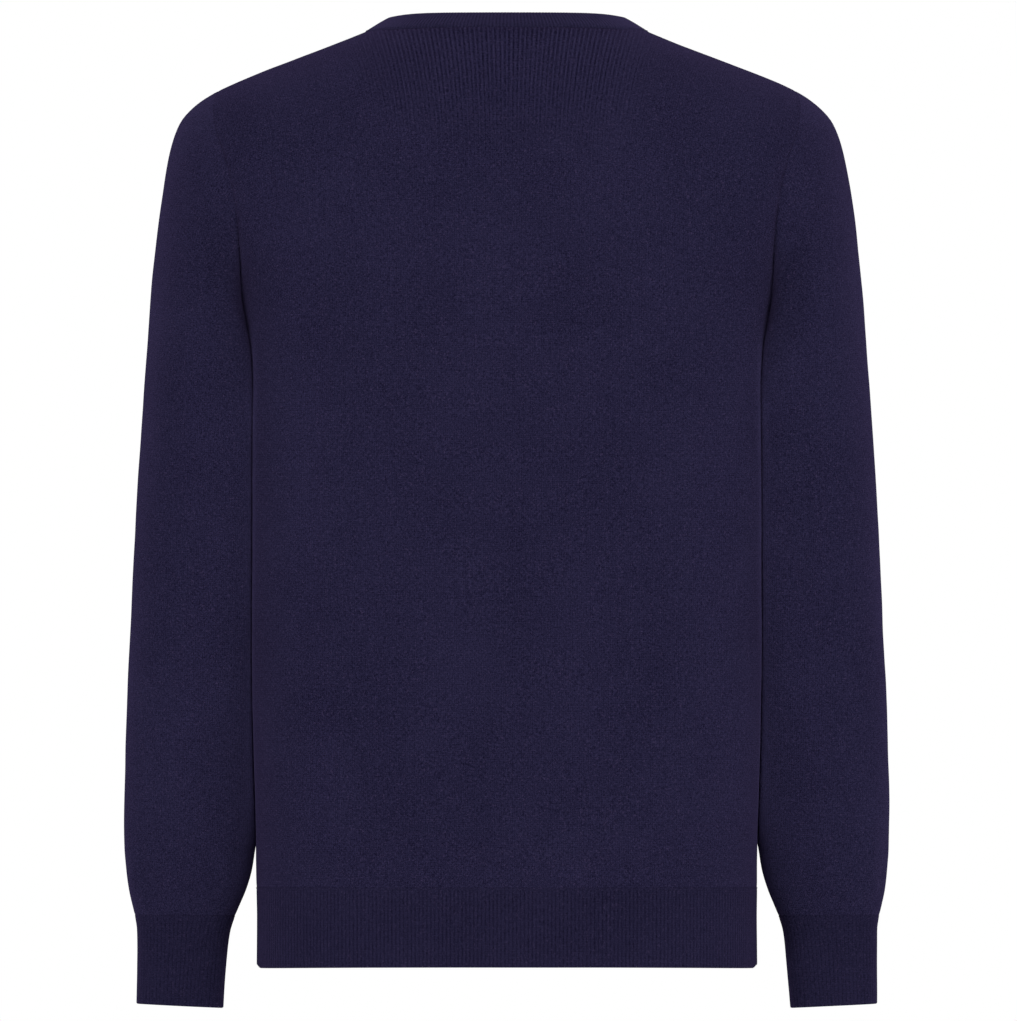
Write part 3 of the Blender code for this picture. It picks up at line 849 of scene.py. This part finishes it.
RING_POINTS = 6001  # how closely a ring is measured to place the columns on it
RING_MIDDLE = 0.4  # the share of the sleeve's length at which it is measured
FREE_GAP = 9 * MM  # the gap beside the body at which creases stand out in full
FREE_TOP = 6 * MM  # they also do this close to the armhole
HEAD_RISE = 20 * MM  # how far below the armhole creases reach their full height
TIP_RISE = 3 * MM  # and how far below it at the shoulder tip
TIP_DOWN_TO = -70 * MM

# The sleeve's rings, in millimetres: the outer and inner edge seen from behind, the middle and the half
# depth from front to back, how far the ring has left the armhole's shape for a rounded one, and how
# square its inner half is pressed.
SLEEVE = named_columns(
    "outer_x  outer_z  inner_x  inner_z  middle_y  half_depth  rounded  inner_power",
    [
        (208, -42.5, 193, -216, 0, 61, 0, 5),
        (217, -48, 189, -220.5, 0, 62, 0.12, 5),
        (226.5, -55.5, 186, -224.5, 0, 63.5, 0.28, 5),
        (234.5, -65, 183, -228.5, 0, 65, 0.45, 5),
        (241, -81, 180.5, -233, 0, 66.5, 0.65, 5),
        (246.5, -107, 177.5, -238.5, 0.5, 67.5, 0.85, 5),
        (252.4, -150, 175.5, -247, 1, 67, 1, 5),
        (257.7, -208, 173.5, -262, 1.5, 65, 1, 5),
        (262, -268, 172, -293, 2, 61.5, 1, 5),
        (265.8, -325, 171, -338, 2, 57, 1, 5),
        (269.6, -400, 170.5, -404, 0, 51, 1, 5),
        (273.0, -470, 171, -471, -4, 46, 1, 5),
        (275.0, -530, 173, -530, -9, 42, 1, 5),
        (275.5, -563, 176.5, -563, -12, 40, 1, 5),
        (275.2, -588, 181.2, -588, -15, 38, 1, 5),
        (274.1, -603, 183.6, -603, -17, 36.5, 1, 4.8),
        (272.4, -617, 187.6, -617, -19, 33, 1, 4.6),
        (270.0, -629, 192.6, -629, -20.5, 29, 1, 4.4),
        (268.4, -635.7, 195.6, -636, -21, 27, 1, 4.2),
    ],
)

# Creases, in millimetres round the sleeve from its outer edge, positive over the back, and in height
LEFT_CREASES = named_columns(
    CREASE_NAMES,
    [
        (3, -53, 26, -57, 0, 4, -1.0),
        (148, -270, 92, -206, 6, 9, 1.0),
        (150, -292, 84, -240, 5, 10, -1.1),
        (-146, -268, -84, -200, -6, 10, 1.1),
        (-148, -300, -72, -246, -5, 9, -1.0),
        (26, -346, 116, -368, 5, 10, -0.8),
        (38, -384, 112, -396, -4, 9, 0.8),
        (-24, -332, -124, -352, 5, 9, -1.4),
        (-34, -360, -118, -376, 4, 8, 1.2),
        (-20, -394, -102, -402, -4, 9, -1.0),
        (18, -470, 74, -520, 6, 14, -0.7),
        (-66, -448, -30, -516, 5, 13, 0.7),
        (14, -566, 18, -634, 2, 7, 0.9),
        (34, -574, 30, -632, -2, 6, -0.9),
        (55, -560, 50, -634, 3, 8, 1.0),
        (84, -580, 76, -630, 2, 6, -0.8),
        (-16, -578, -14, -630, 2, 6, -0.9),
        (-38, -562, -35, -634, -2, 7, 1.0),
        (-70, -572, -62, -632, 3, 7, -0.8),
        (-94, -566, -86, -632, 2, 6, 0.9),
    ],
)
RIGHT_CREASES = named_columns(
    CREASE_NAMES,
    [
        (3, -48, 30, -62, 2, 4, -1.2),
        (150, -262, 96, -204, 5, 10, 1.1),
        (152, -288, 78, -244, 6, 9, -1.0),
        (-148, -272, -90, -210, -5, 9, 1.0),
        (-146, -296, -80, -238, -6, 11, -1.1),
        (6, -400, 92, -388, 5, 18, 0.8),
        (4, -424, 100, -434, 4, 13, -1.1),
        (-30, -340, -120, -350, -5, 9, -1.3),
        (-26, -370, -122, -384, 5, 9, 1.2),
        (-40, -402, -108, -412, 4, 8, -0.9),
        (70, -470, 30, -540, 5, 14, -0.8),
        (-40, -452, -74, -510, 5, 13, 0.8),
        (12, -572, 15, -634, 2, 6, -0.9),
        (30, -560, 27, -632, 2, 7, 0.9),
        (60, -576, 54, -634, -3, 7, -1.0),
        (88, -562, 80, -630, 2, 7, 0.8),
        (-18, -564, -17, -634, 2, 7, 0.9),
        (-44, -578, -40, -632, -2, 6, -0.9),
        (-66, -560, -60, -634, 3, 8, 1.0),
        (-96, -580, -88, -630, 2, 6, -0.8),
    ],
)


def torso_x(y, z):
    """Half width of the torso at y."""
    half_width = table(TORSO, "half_width", "height", z)
    depth = np.where(y > 0, table(TORSO, "back", "height", z), table(TORSO, "front", "height", z))
    part = np.clip(np.abs(y) / depth, 0, 1)
    return half_width * (1 - part**SECTION_POWER) ** (1 / SECTION_POWER)


def tube_rings(rows, shares, turns):
    """Rounded rings of a sleeve or cuff at shares of its length, and that part of each of its columns."""
    outer_run = np.hypot(np.diff(rows["outer_x"]), np.diff(rows["outer_z"]))
    inner_run = np.hypot(np.diff(rows["inner_x"]), np.diff(rows["inner_z"]))
    along = np.concatenate([[0], np.cumsum(outer_run + inner_run)])
    read = {key: smooth(along, column, shares * along[-1])[:, None] for key, column in rows.items()}
    power = 2 / np.where(np.cos(turns) > 0, OUTER_POWER, read["inner_power"])
    wide = np.sign(np.cos(turns)) * np.abs(np.cos(turns)) ** power
    deep = np.sign(np.sin(turns)) * np.abs(np.sin(turns)) ** power
    x = (read["outer_x"] + read["inner_x"]) / 2 + wide * (read["outer_x"] - read["inner_x"]) / 2
    z = (read["outer_z"] + read["inner_z"]) / 2 + wide * (read["outer_z"] - read["inner_z"]) / 2
    y = read["middle_y"] + deep * read["half_depth"]
    return np.stack([x, y, z], axis=-1) * MM, read


def sleeve_grid():
    """The outer face of the wearer's left sleeve, from the armhole down, from the underarm seam round."""
    fine = np.linspace(0, np.pi, RING_POINTS)
    upper_ring, _ = tube_rings(SLEEVE, np.array([RING_MIDDLE]), fine)
    along = run(upper_ring[0], 0)
    half = np.interp(spread(along[-1], HALF_RING, EDGE_STEPS) * along[-1], along, fine)
    turns = np.concatenate([2 * np.pi - half[::-1], half[1:-1] + 2 * np.pi])
    second = spread(SLEEVE_LENGTH / 2, SLEEVE_ROWS // 2, EDGE_STEPS)
    shares = np.concatenate([1 - second[::-1], 1 + second[1:]]) / 2
    rings, read = tube_rings(SLEEVE, shares, turns)
    up = (1 + np.cos(turns)) / 2
    armhole = np.where((np.sin(turns) > 0)[:, None], armhole_point(up, 1), armhole_point(up, -1))
    armhole[HALF_RING, 1] = 0
    top = rings[:, HALF_RING : HALF_RING + 1] - armhole[HALF_RING]
    bottom = rings[:, :1] - armhole[0]
    carried = armhole + bottom + up[None, :, None] * (top - bottom)
    rounded = read["rounded"][..., None]
    grid = (1 - rounded) * carried + rounded * rings
    side_x = torso_x(grid[..., 1], grid[..., 2])
    # Beside the armhole the torso ends at the seam
    at_seam = np.minimum(side_x, table(ARMHOLE, "across", "height", grid[..., 2]))
    side_x = np.where(grid[..., 2] > ARMPIT_Z, at_seam, side_x) + SLEEVE_CLEARANCE
    grid[1:, :, 0] = np.maximum(grid[1:, :, 0], side_x[1:])
    return grid, grid[..., 0] - side_x


def wrapped(grid):
    """The grid with its first column once more at the end, as the map of a tube needs."""
    return np.concatenate([grid, grid[:, :1]], axis=1)


def sleeve(name, hand, creases):
    """A sleeve of the wearer's left (hand 1) or right (hand -1) side."""
    grid, gap = sleeve_grid()
    around = run(wrapped(grid), 1)
    around -= around[:, HALF_RING : HALF_RING + 1]
    up = run(grid[::-1], 0)[::-1]
    down = up[:1] - up
    to_underarm = np.minimum(np.abs(around - around[:, :1]), np.abs(around[:, -1:] - around))[:, :-1]
    free = np.maximum(smoothstep(gap / FREE_GAP), np.exp(-((down / FREE_TOP) ** 2)))
    creased = creases_out(creases, around[:, :-1], grid[..., 2])
    at_tip = smoothstep(down / TIP_RISE) * (grid[..., 2] > TIP_DOWN_TO)
    soft = creased * np.maximum(smoothstep(down / HEAD_RISE), at_tip)
    grid = grid * (hand, 1, 1)
    normals = out_of(normals_of(grid, True), grid - grid.mean(axis=1, keepdims=True))
    normals[0] = seam_normals(grid[0])
    out = (soft + ripple(grid)) * free
    out += seam_groove(np.minimum(down, to_underarm)) + seam_groove(up, JOIN_DEPTH)
    outer = grid + normals * out[..., None]
    place = np.stack([around, wrapped(up)], axis=-1)
    pull = HEAD_PULL * np.exp(-((down / HEAD_PULL_REACH) ** 2)) * (grid[..., 2] < HEAD_PULL_BELOW)
    # Painted highlight over the top of the sleeve head
    painted_light_and_tone = HEAD_PAINTED_LIGHT * smoothstep((grid[..., 2] - HEAD_PAINTED_LIGHT_FROM) / HEAD_PAINTED_LIGHT_FADE)
    return knitted_piece(name, outer, normals, KNIT_WALL, place, True, pull, painted_light_and_tone=painted_light_and_tone)


def points_of(piece):
    """The piece's points, one to a row."""
    flat = np.empty(len(piece.data.vertices) * 3, np.float32)
    piece.data.vertices.foreach_get("co", flat)
    return flat.reshape(-1, 3)


def paint_light_in_crease(piece, neighbour):
    """Paints light into the yarn where a piece lies close beside its neighbour, lifting the shade of their
    crease.
    """
    near = kdtree.KDTree(len(neighbour.data.vertices))
    for i, point in enumerate(points_of(neighbour)):
        near.insert(point, i)
    near.balance()
    points = points_of(piece)
    away = np.full(len(points), 1.0)
    beside = (points[:, 2] < CREASE_TOP) & (np.abs(points[:, 0]) > CREASE_FROM)
    away[beside] = [near.find(point)[2] for point in points[beside]]
    below = smoothstep((CREASE_TOP - points[:, 2]) / CREASE_FADE)
    painted_light_and_tone = piece.data.attributes["painted_light_and_tone"]
    values = np.empty(len(points), np.float32)
    painted_light_and_tone.data.foreach_get("value", values)
    reach = CREASE_REACH + (GAP_REACH - CREASE_REACH) * smoothstep((GAP_FROM - points[:, 2]) / GAP_FADE)
    # Painted light, strongest where the two pieces touch
    values += CREASE_PAINTED_LIGHT * np.exp(-away / reach) * below
    painted_light_and_tone.data.foreach_set("value", values)


for name, hand, creases, node in (
    ("left_sleeve", 1, LEFT_CREASES, "sleeve_left"),
    ("right_sleeve", -1, RIGHT_CREASES, "sleeve_right"),
):
    piece = sleeve(name, hand, creases)
    for panel_beside in (back_panel, front_panel):
        paint_light_in_crease(piece, panel_beside)
        paint_light_in_crease(panel_beside, piece)
    piece.data.materials.append(plain_knit)
    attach(piece, "root")
    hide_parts(node)


# Hem ribs. A fine one-by-one rib, 58 mm deep, is knitted on below each panel. Its stitches stand up in
# fine ridges with narrow furrows between them, and the lower edge is a clean rounded one.
RIB_WALL = 2.0 * MM
RIB_PITCH = 2.8 * MM
RIB_STEPS = 5  # mesh columns to a rib
RIB_HEIGHT = 0.17 * MM
RIB_LEAST = 0.05  # what is left of that where they are knitted on
RIDGE_POWER = 0.75  # of a rib's section; below 1 its top is broad and its furrow narrow
RIDGE_LEVEL = 0.6  # the part of a rib that lies below the wall's own face
RIB_COURSE = 1.7 * MM
HEM_ROWS = 20
RIB_FADE = 5 * MM  # the length over which the ribs rise where they are knitted on
HEM_CORNER = 2.4 * MM  # how far in from the side its lower corner is rounded
CORNER_LIFT = 1.8 * MM
HEM_LIFT = 1.3 * MM  # how much higher its lower edge hangs in the middle than at the sides
RIB_DEEP = (0.0047, 0.0042, 0.0142, 1)
RIB_FIBRE = (0.0270, 0.0235, 0.0604, 1)
RIB_VIOLET = (0.0370, 0.0270, 0.0660, 1)
RIB_RELIEF = 0.14 * MM
# How much lighter the ribs' tops are painted than their furrows: painted shade of their relief
RIB_PAINTED_LIGHT = 0.06
RIB_FLECK = 1.05
LINK_YARN = (0.0185, 0.0162, 0.0410, 1)
LINK_RELIEF = 0.1 * MM
LINK_FLECK = 1.6
STITCH_SIZE = (1.9 * MM, 0.8 * MM)
STITCH_ROW = 2  # the mesh row that they lie on, counted from the seam
STITCH_SPREAD = (0.7, 1.1)  # how their size varies
HEM_LINK = 1.0  # how thick they are on the hem
HEM_SEED = 11


def named_value(tree, name, kind):
    """A value kept at the mesh's points."""
    return add(tree, "GeometryNodeInputNamedAttribute", {"Name": name}, data_type=kind).outputs[0]


def geometry_tree(name, inputs):
    """An empty tree of geometry nodes with its named inputs, and its input and output nodes."""
    tree = bpy.data.node_groups.new(name, "GeometryNodeTree")
    tree.interface.new_socket("Cloth", in_out="INPUT", socket_type="NodeSocketGeometry")
    for label, kind in inputs:
        tree.interface.new_socket(label, in_out="INPUT", socket_type=kind)
    tree.interface.new_socket("Cloth", in_out="OUTPUT", socket_type="NodeSocketGeometry")
    return tree, add(tree, "NodeGroupInput").outputs, add(tree, "NodeGroupOutput")


def rib_tree():
    """Raises ribs along a wall's outward way by the count of wales, and lays linking stitches on its row."""
    tree, given, out = geometry_tree(
        "ribs and linking stitches",
        [
            ("Rib Height", "NodeSocketFloat"),
            ("Stitch Pitch", "NodeSocketFloat"),
            ("Stitch Length", "NodeSocketFloat"),
            ("Stitch Width", "NodeSocketFloat"),
            ("Seed", "NodeSocketInt"),
            ("Yarn", "NodeSocketMaterial"),
            ("Linking Yarn", "NodeSocketMaterial"),
        ],
    )
    outward = named_value(tree, "outward", "FLOAT_VECTOR")
    turn = math(tree, "MULTIPLY", named_value(tree, "wale", "FLOAT"), np.pi)
    ridge = math(tree, "POWER", math(tree, "ABSOLUTE", math(tree, "COSINE", turn)), RIDGE_POWER)
    above = math(tree, "MULTIPLY", math(tree, "SUBTRACT", ridge, RIDGE_LEVEL), given["Rib Height"])
    offset = add(tree, "ShaderNodeVectorMath", {0: outward, "Scale": above}, operation="SCALE").outputs[0]
    ribs = add(tree, "GeometryNodeSetPosition", {"Geometry": given["Cloth"], "Offset": offset}).outputs[0]

    on_row = named_value(tree, "linked", "BOOLEAN")
    row = add(tree, "GeometryNodeMeshToCurve", {"Mesh": ribs, "Selection": on_row}).outputs[0]
    even = add(
        tree, "GeometryNodeResampleCurve", {"Curve": row, "Length": given["Stitch Pitch"]}, mode="LENGTH"
    ).outputs[0]
    upright = add(tree, "FunctionNodeAlignRotationToVector", {"Vector": outward}, axis="Z").outputs[0]
    way = add(tree, "GeometryNodeInputTangent").outputs[0]
    turned = add(
        tree,
        "FunctionNodeAlignRotationToVector",
        {"Rotation": upright, "Vector": way},
        axis="X",
        pivot_axis="Z",
    ).outputs[0]
    chance = add(tree, "FunctionNodeRandomValue", data_type="FLOAT")
    chance.inputs[2].default_value = STITCH_SPREAD[0]
    chance.inputs[3].default_value = STITCH_SPREAD[1]
    tree.links.new(given["Seed"], chance.inputs["Seed"])
    long = math(tree, "MULTIPLY", given["Stitch Length"], chance.outputs[1])
    thick = math(tree, "MULTIPLY", given["Stitch Width"], chance.outputs[1])
    size = add(tree, "ShaderNodeCombineXYZ", {0: long, 1: thick, 2: thick}).outputs[0]
    ball = add(tree, "GeometryNodeMeshUVSphere", {"Segments": 8, "Rings": 5, "Radius": 0.5}).outputs[0]
    stitch = add(
        tree,
        "GeometryNodeStoreNamedAttribute",
        {"Geometry": ball, "Name": "stitch", "Value": True},
        data_type="BOOLEAN",
        domain="FACE",
    ).outputs[0]
    stitches = add(
        tree,
        "GeometryNodeInstanceOnPoints",
        {"Points": even, "Instance": stitch, "Rotation": turned, "Scale": size},
    ).outputs[0]
    both = add(tree, "GeometryNodeJoinGeometry")
    tree.links.new(stitches, both.inputs[0])
    tree.links.new(ribs, both.inputs[0])
    real = add(tree, "GeometryNodeRealizeInstances", {0: both.outputs[0]}).outputs[0]
    soft = add(tree, "GeometryNodeSetShadeSmooth", {0: real}).outputs[0]
    dressed = add(tree, "GeometryNodeSetMaterial", {"Geometry": soft, "Material": given["Yarn"]}).outputs[0]
    picked = named_value(tree, "stitch", "BOOLEAN")
    linked = add(
        tree,
        "GeometryNodeSetMaterial",
        {"Geometry": dressed, "Selection": picked, "Material": given["Linking Yarn"]},
    ).outputs[0]
    tree.links.new(linked, out.inputs[0])
    return tree


def grown(thing, tree, **given):
    """Runs a tree of geometry nodes on an object and keeps what it makes as the object's plain mesh."""
    nodes = thing.modifiers.new(tree.name, "NODES")
    nodes.node_group = tree
    for socket in tree.interface.items_tree:
        label = socket.name.lower().replace(" ", "_")
        if socket.in_out == "INPUT" and label in given:
            nodes[socket.identifier] = given[label]
    shown = thing.evaluated_get(bpy.context.evaluated_depsgraph_get())
    mesh = bpy.data.meshes.new_from_object(shown)
    thing.modifiers.clear()
    thing.data = mesh
    mesh.name = thing.name
    return thing


def yarn_material(name, colour):
    """The plain yarn of the linking stitches, lit and shaded as the knit is."""
    material = bpy.data.materials.new(name)
    material.use_nodes = True
    tree = material.node_tree
    shader = tree.nodes["Principled BSDF"]
    group = add(tree, "ShaderNodeGroup", node_tree=WOOL_NAP)
    tree.links.new(add(tree, "ShaderNodeTexCoord").outputs["Object"], group.inputs["Place"])
    value = math(tree, "MULTIPLY_ADD", group.outputs["Fleck"], LINK_FLECK, 1.0)
    toned = add(tree, "ShaderNodeHueSaturation", {"Value": value, "Color": colour})
    tree.links.new(toned.outputs[0], shader.inputs["Base Color"])
    rough = math(tree, "MULTIPLY_ADD", group.outputs["Fibre"], ROUGH_SPREAD, WOOL_ROUGHNESS)
    tree.links.new(rough, shader.inputs["Roughness"])
    bump = add(tree, "ShaderNodeBump", {"Distance": LINK_RELIEF, "Height": group.outputs["Fibre"]})
    tree.links.new(bump.outputs["Normal"], shader.inputs["Normal"])
    for label, constant in WOOL_SHADING.items():
        shader.inputs[label].default_value = constant
    return material


RAISED_RIBS = rib_tree()
rib_knit = knit_material(
    "rib_knit",
    RIB_DEEP,
    RIB_FIBRE,
    RIB_VIOLET,
    RIB_PITCH,
    RIB_COURSE,
    RIB_RELIEF,
    RIB_PITCH,
    RIB_PAINTED_LIGHT,
    RIB_FLECK,
)
linking_yarn = yarn_material("linking_yarn", LINK_YARN)


def ribbed(piece, rib_height, pitch, thick, seed):
    """The same piece with its ribs raised and its linking stitches laid."""
    return grown(
        piece,
        RAISED_RIBS,
        rib_height=rib_height,
        stitch_pitch=pitch,
        stitch_length=STITCH_SIZE[0] * pitch / RIB_PITCH,
        stitch_width=STITCH_SIZE[1] * thick,
        seed=seed,
        yarn=rib_knit,
        linking_yarn=linking_yarn,
    )


def hem_rib(name, side):
    """The ribbed hem below one panel, from its lower edge up."""
    middle_z = (HEM_Z + RIB_TOP_Z) / 2
    length = run(round_section(side, middle_z, LENGTH_POINTS), 0)[-1]
    half = round(length / RIB_PITCH) * RIB_STEPS
    shares = level_shares(side, middle_z, half, np.array([]))
    rows = []
    for share in spread(RIB_TOP_Z - HEM_Z, HEM_ROWS, EDGE_STEPS):
        level = np.full(len(shares), HEM_Z + share * (RIB_TOP_Z - HEM_Z))
        x = shares * table(TORSO, "half_width", "height", level)
        y = torso_y(x, level, side)
        y[[0, -1]] = 0
        to_corner = (np.abs(shares) - 1) * table(TORSO, "half_width", "height", level) + HEM_CORNER
        lift = HEM_LIFT * (1 - np.abs(shares) ** 4) + CORNER_LIFT * smoothstep(to_corner / HEM_CORNER)
        lifted = level + lift * (1 - share)
        rows.append(np.stack([x, y, lifted], axis=-1))
    grid = np.array(rows)
    normals = out_of(normals_of(grid, False), grid * (1, 1, 0))
    for edge in (np.s_[-1], np.s_[:, 0], np.s_[:, -1]):
        normals[edge] = seam_normals(grid[edge])
    up, across = run(grid, 0), run(grid, 1)
    to_side = np.minimum(across, across[:, -1:] - across)
    out = ripple(grid) + seam_groove(to_side) + seam_groove(up[-1:] - up, JOIN_DEPTH)
    outer = grid + normals * out[..., None]
    wales = np.tile(np.arange(-half, half + 1) / RIB_STEPS, (len(grid), 1))
    place = np.stack([wales * RIB_PITCH, up], axis=-1)
    pull = np.maximum(smoothstep((up[-1:] - up) / RIB_FADE), RIB_LEAST)
    row = HEM_ROWS - STITCH_ROW
    piece = knitted_piece(name, outer, normals, RIB_WALL, place, False, pull, wales, row, free_first=True)
    return ribbed(piece, RIB_HEIGHT, RIB_PITCH, HEM_LINK, HEM_SEED + side)


for name, side, node in (("back_hem", 1, "hem_rib_back"), ("front_hem", -1, "hem_rib_front")):
    piece = hem_rib(name, side)
    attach(piece, "root")
    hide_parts(node)


# Cuffs. The same rib closes round each wrist, 66 mm deep along the cloth. It is knitted on where the
# sleeve draws in, and its lower edge is a clean rounded one like the hem's.
CUFF_RIBS = 66
CUFF_STEPS = 6
CUFF_ROWS = 24
CUFF_DEPTH = 66 * MM
CUFF_PULL = 0.32  # its ribs stand out less than the hem's
# The cuffs are drawn a little darker: partly painted shade low on the sleeves, partly the rib's darker look
CUFF_TONE = -0.04
CUFF_MIDDLE = 0.6  # the share of its depth at which its ring is measured
CUFF_LINK = 0.6  # its linking stitches are thinner than the hem's
CUFF_SEED = 21
CUFF = named_columns(
    "outer_x  outer_z  inner_x  inner_z  middle_y  half_depth  inner_power",
    [
        (268.4, -635.7, 195.6, -636, -21, 27, 4.2),
        (266.8, -647, 199.2, -648, -22, 25.4, 4.0),
        (266.5, -668, 201.7, -670, -24, 24.4, 3.8),
        (266.8, -699, 204.2, -702, -26.5, 23.4, 3.6),
    ],
)


def cuff(name, hand):
    """The cuff of the wearer's left (hand 1) or right (hand -1) sleeve, from its seam down."""
    fine = np.linspace(np.pi, 3 * np.pi, RING_POINTS)
    middle_ring, _ = tube_rings(CUFF, np.array([CUFF_MIDDLE]), fine)
    along = run(middle_ring[0], 0)
    turns = np.interp(np.linspace(0, along[-1], CUFF_RIBS * CUFF_STEPS + 1), along, fine)[:-1]
    shares = 1 - spread(CUFF_DEPTH, CUFF_ROWS, EDGE_STEPS)[::-1]
    grid, _ = tube_rings(CUFF, shares, turns)
    grid = grid * (hand, 1, 1)
    normals = out_of(normals_of(grid, True), grid - grid.mean(axis=1, keepdims=True))
    down = run(grid, 0)
    outer = grid + normals * (seam_groove(down, JOIN_DEPTH) + ripple(grid))[..., None]
    count = np.arange(CUFF_RIBS * CUFF_STEPS + 1) / CUFF_STEPS
    wales = np.tile(count, (len(grid), 1))
    place = np.stack([wales * RIB_PITCH, -wrapped(down)], axis=-1)
    pull = CUFF_PULL * np.maximum(smoothstep(down / RIB_FADE), RIB_LEAST)
    wales = wales[:, :-1]
    piece = knitted_piece(
        name, outer, normals, RIB_WALL, place, True, pull, wales, STITCH_ROW, CUFF_TONE, free_last=True
    )
    return ribbed(piece, RIB_HEIGHT, RIB_PITCH, CUFF_LINK, CUFF_SEED + hand)


for name, hand, node in (("left_cuff", 1, "cuff_left"), ("right_cuff", -1, "cuff_right")):
    piece = cuff(name, hand)
    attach(piece, "root")
    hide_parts(node)


# Neckband. One ribbed strip, 19 mm wide, is linked on round the neck stitch by stitch and mitred at the
# point of the V. It lies flat on the chest and stands up a little round the back of the neck.
BAND_WIDTH = 19 * MM
BAND_RISE = 10.2 * MM  # how far it stands up round the back of the neck
BAND_CROWN = 0.6 * MM
BAND_TONE = 0.19  # its yarn is drawn lighter than the hem's, and up to twice as light at its ends behind, a painted highlight
MITRE_REACH = 55 * MM  # half width below which its ends slant towards the mitre
BAND_PITCH = 2.5 * MM
BAND_ROWS = 13
BAND_RIB = 1.6 * RIB_HEIGHT
BEHIND_REACH = 60 * MM  # how far behind the shoulder points its ribs reach their full height
BEHIND_PULL = 0.6  # how much higher they are there than in front
CORNER_FROM = 62 * MM  # the half width at which they start to fade towards the shoulder
CORNER_FADE = 26 * MM
CORNER_CALM = 0.85  # and how much of their height is lost there
CORNER_EASE = 9 * MM  # how far its free edge is rounded where it turns
NECKLINE_POINTS = 900
BAND_LINK = 0.9
BAND_SEED = 31


def neckline():
    """The band's seam and its free edge, close enough to measure along, from the V round to the V."""
    x = np.linspace(0, NECK_HALF_WIDTH, NECKLINE_POINTS)
    front_z = front_neck_z(x)
    front = np.stack([x, torso_y(x, front_z, -1), front_z], axis=-1)
    slant = np.arctan2(NECK_HALF_WIDTH, V_DEPTH)
    in_x = x - BAND_WIDTH * np.cos(slant) * np.minimum(x / MITRE_REACH, 1)
    in_z = front_neck_z(in_x) + BAND_WIDTH / np.sin(slant)
    front_inner = np.stack([in_x, torso_y(in_x, in_z, -1), in_z], axis=-1)
    back_z = back_neck_z(x)
    back = np.stack([x, torso_y(x, back_z, 1), back_z], axis=-1)
    front[-1] = back[-1] = (NECK_HALF_WIDTH, 0, 0)
    # Square to the seam in plan, which is close to an ellipse
    away = back[:, :2] / (NECK_HALF_WIDTH**2, back[0, 1] ** 2)
    away /= np.linalg.norm(away, axis=1, keepdims=True)
    lean = np.sqrt(BAND_WIDTH**2 - BAND_RISE**2)
    back_inner = np.column_stack([back[:, :2] - lean * away, back_z + BAND_RISE])
    left = np.concatenate([front, back[-2::-1]])
    left_inner = np.concatenate([front_inner[:-1], back_inner[::-1]])
    seam = np.concatenate([left, left[-2::-1] * (-1, 1, 1)])
    edge = np.concatenate([left_inner, left_inner[-2::-1] * (-1, 1, 1)])
    return seam, edge


def points_along(line, along, at):
    """The points of a line at given distances along it."""
    return np.stack([np.interp(at, along, line[:, k]) for k in range(3)], axis=-1)


def eased(points, reach):
    """A line with its corners rounded, its ends kept."""
    along = run(points, 0)
    even = np.linspace(0, along[-1], LENGTH_POINTS)
    line = points_along(points, along, even)
    half = int(reach / (even[1] - even[0]))
    padded = np.concatenate([2 * line[0] - line[half:0:-1], line, 2 * line[-1] - line[-2 : -half - 2 : -1]])
    window = np.hanning(2 * half + 3)[1:-1]
    window /= window.sum()
    soft = np.stack([np.convolve(padded[:, k], window, "valid") for k in range(3)], axis=-1)
    return soft, even / even[-1]


def neckband():
    """The band from its seam to its free edge, all the way round from the V."""
    seam, edge = neckline()
    middle = (seam + edge) / 2
    along = run(middle, 0)
    ribs = round(along[-1] / BAND_PITCH)
    at = np.linspace(0, along[-1], ribs * RIB_STEPS + 1)
    seam, edge = points_along(seam, along, at), points_along(edge, along, at)
    soft, soft_at = eased(edge, CORNER_EASE)
    edge = points_along(soft, soft_at, at / at[-1])
    edge[[0, -1], 0] = 0
    across = 1 - spread(BAND_WIDTH, BAND_ROWS, EDGE_STEPS)[::-1]
    grid = seam + across[:, None, None] * (edge - seam)
    normals = out_of(normals_of(grid, False), grid * (1, 1, 0) + (0, 0, 0.1))
    normals[0] = seam_normals(grid[0])
    crown = BAND_CROWN * np.sin(np.pi * np.clip(across * 0.9 + 0.1, 0, 1)) ** 0.7
    along_band = run(grid, 1)
    up = run(grid, 0)
    to_end = np.minimum(along_band, along_band[:, -1:] - along_band)
    out = crown[:, None] + seam_groove(up, neck_depth(grid[0, :, 0])) + seam_groove(to_end, JOIN_DEPTH)
    outer = grid + normals * out[..., None]
    wales = np.tile(np.arange(ribs * RIB_STEPS + 1) / RIB_STEPS, (len(grid), 1))
    place = np.stack([wales * RIB_PITCH, up], axis=-1)
    behind = np.clip(grid[..., 1] / BEHIND_REACH, 0, 1)
    at_corner = smoothstep((np.abs(grid[..., 0]) - CORNER_FROM) / CORNER_FADE) * (behind > 0)
    pull = (1.0 + BEHIND_PULL * behind) * (1 - CORNER_CALM * at_corner)
    # The ends behind the shoulder points are drawn up to twice as light: a painted highlight where they meet
    # the shoulders
    painted_light_and_tone = BAND_TONE * (1 + at_corner)
    piece = knitted_piece(
        "neckband_rib", outer, normals, RIB_WALL, place, False, pull, wales, STITCH_ROW, painted_light_and_tone, free_last=True
    )
    return ribbed(piece, BAND_RIB, BAND_PITCH, BAND_LINK, BAND_SEED)


piece = neckband()
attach(piece, "root")
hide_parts("neckband")
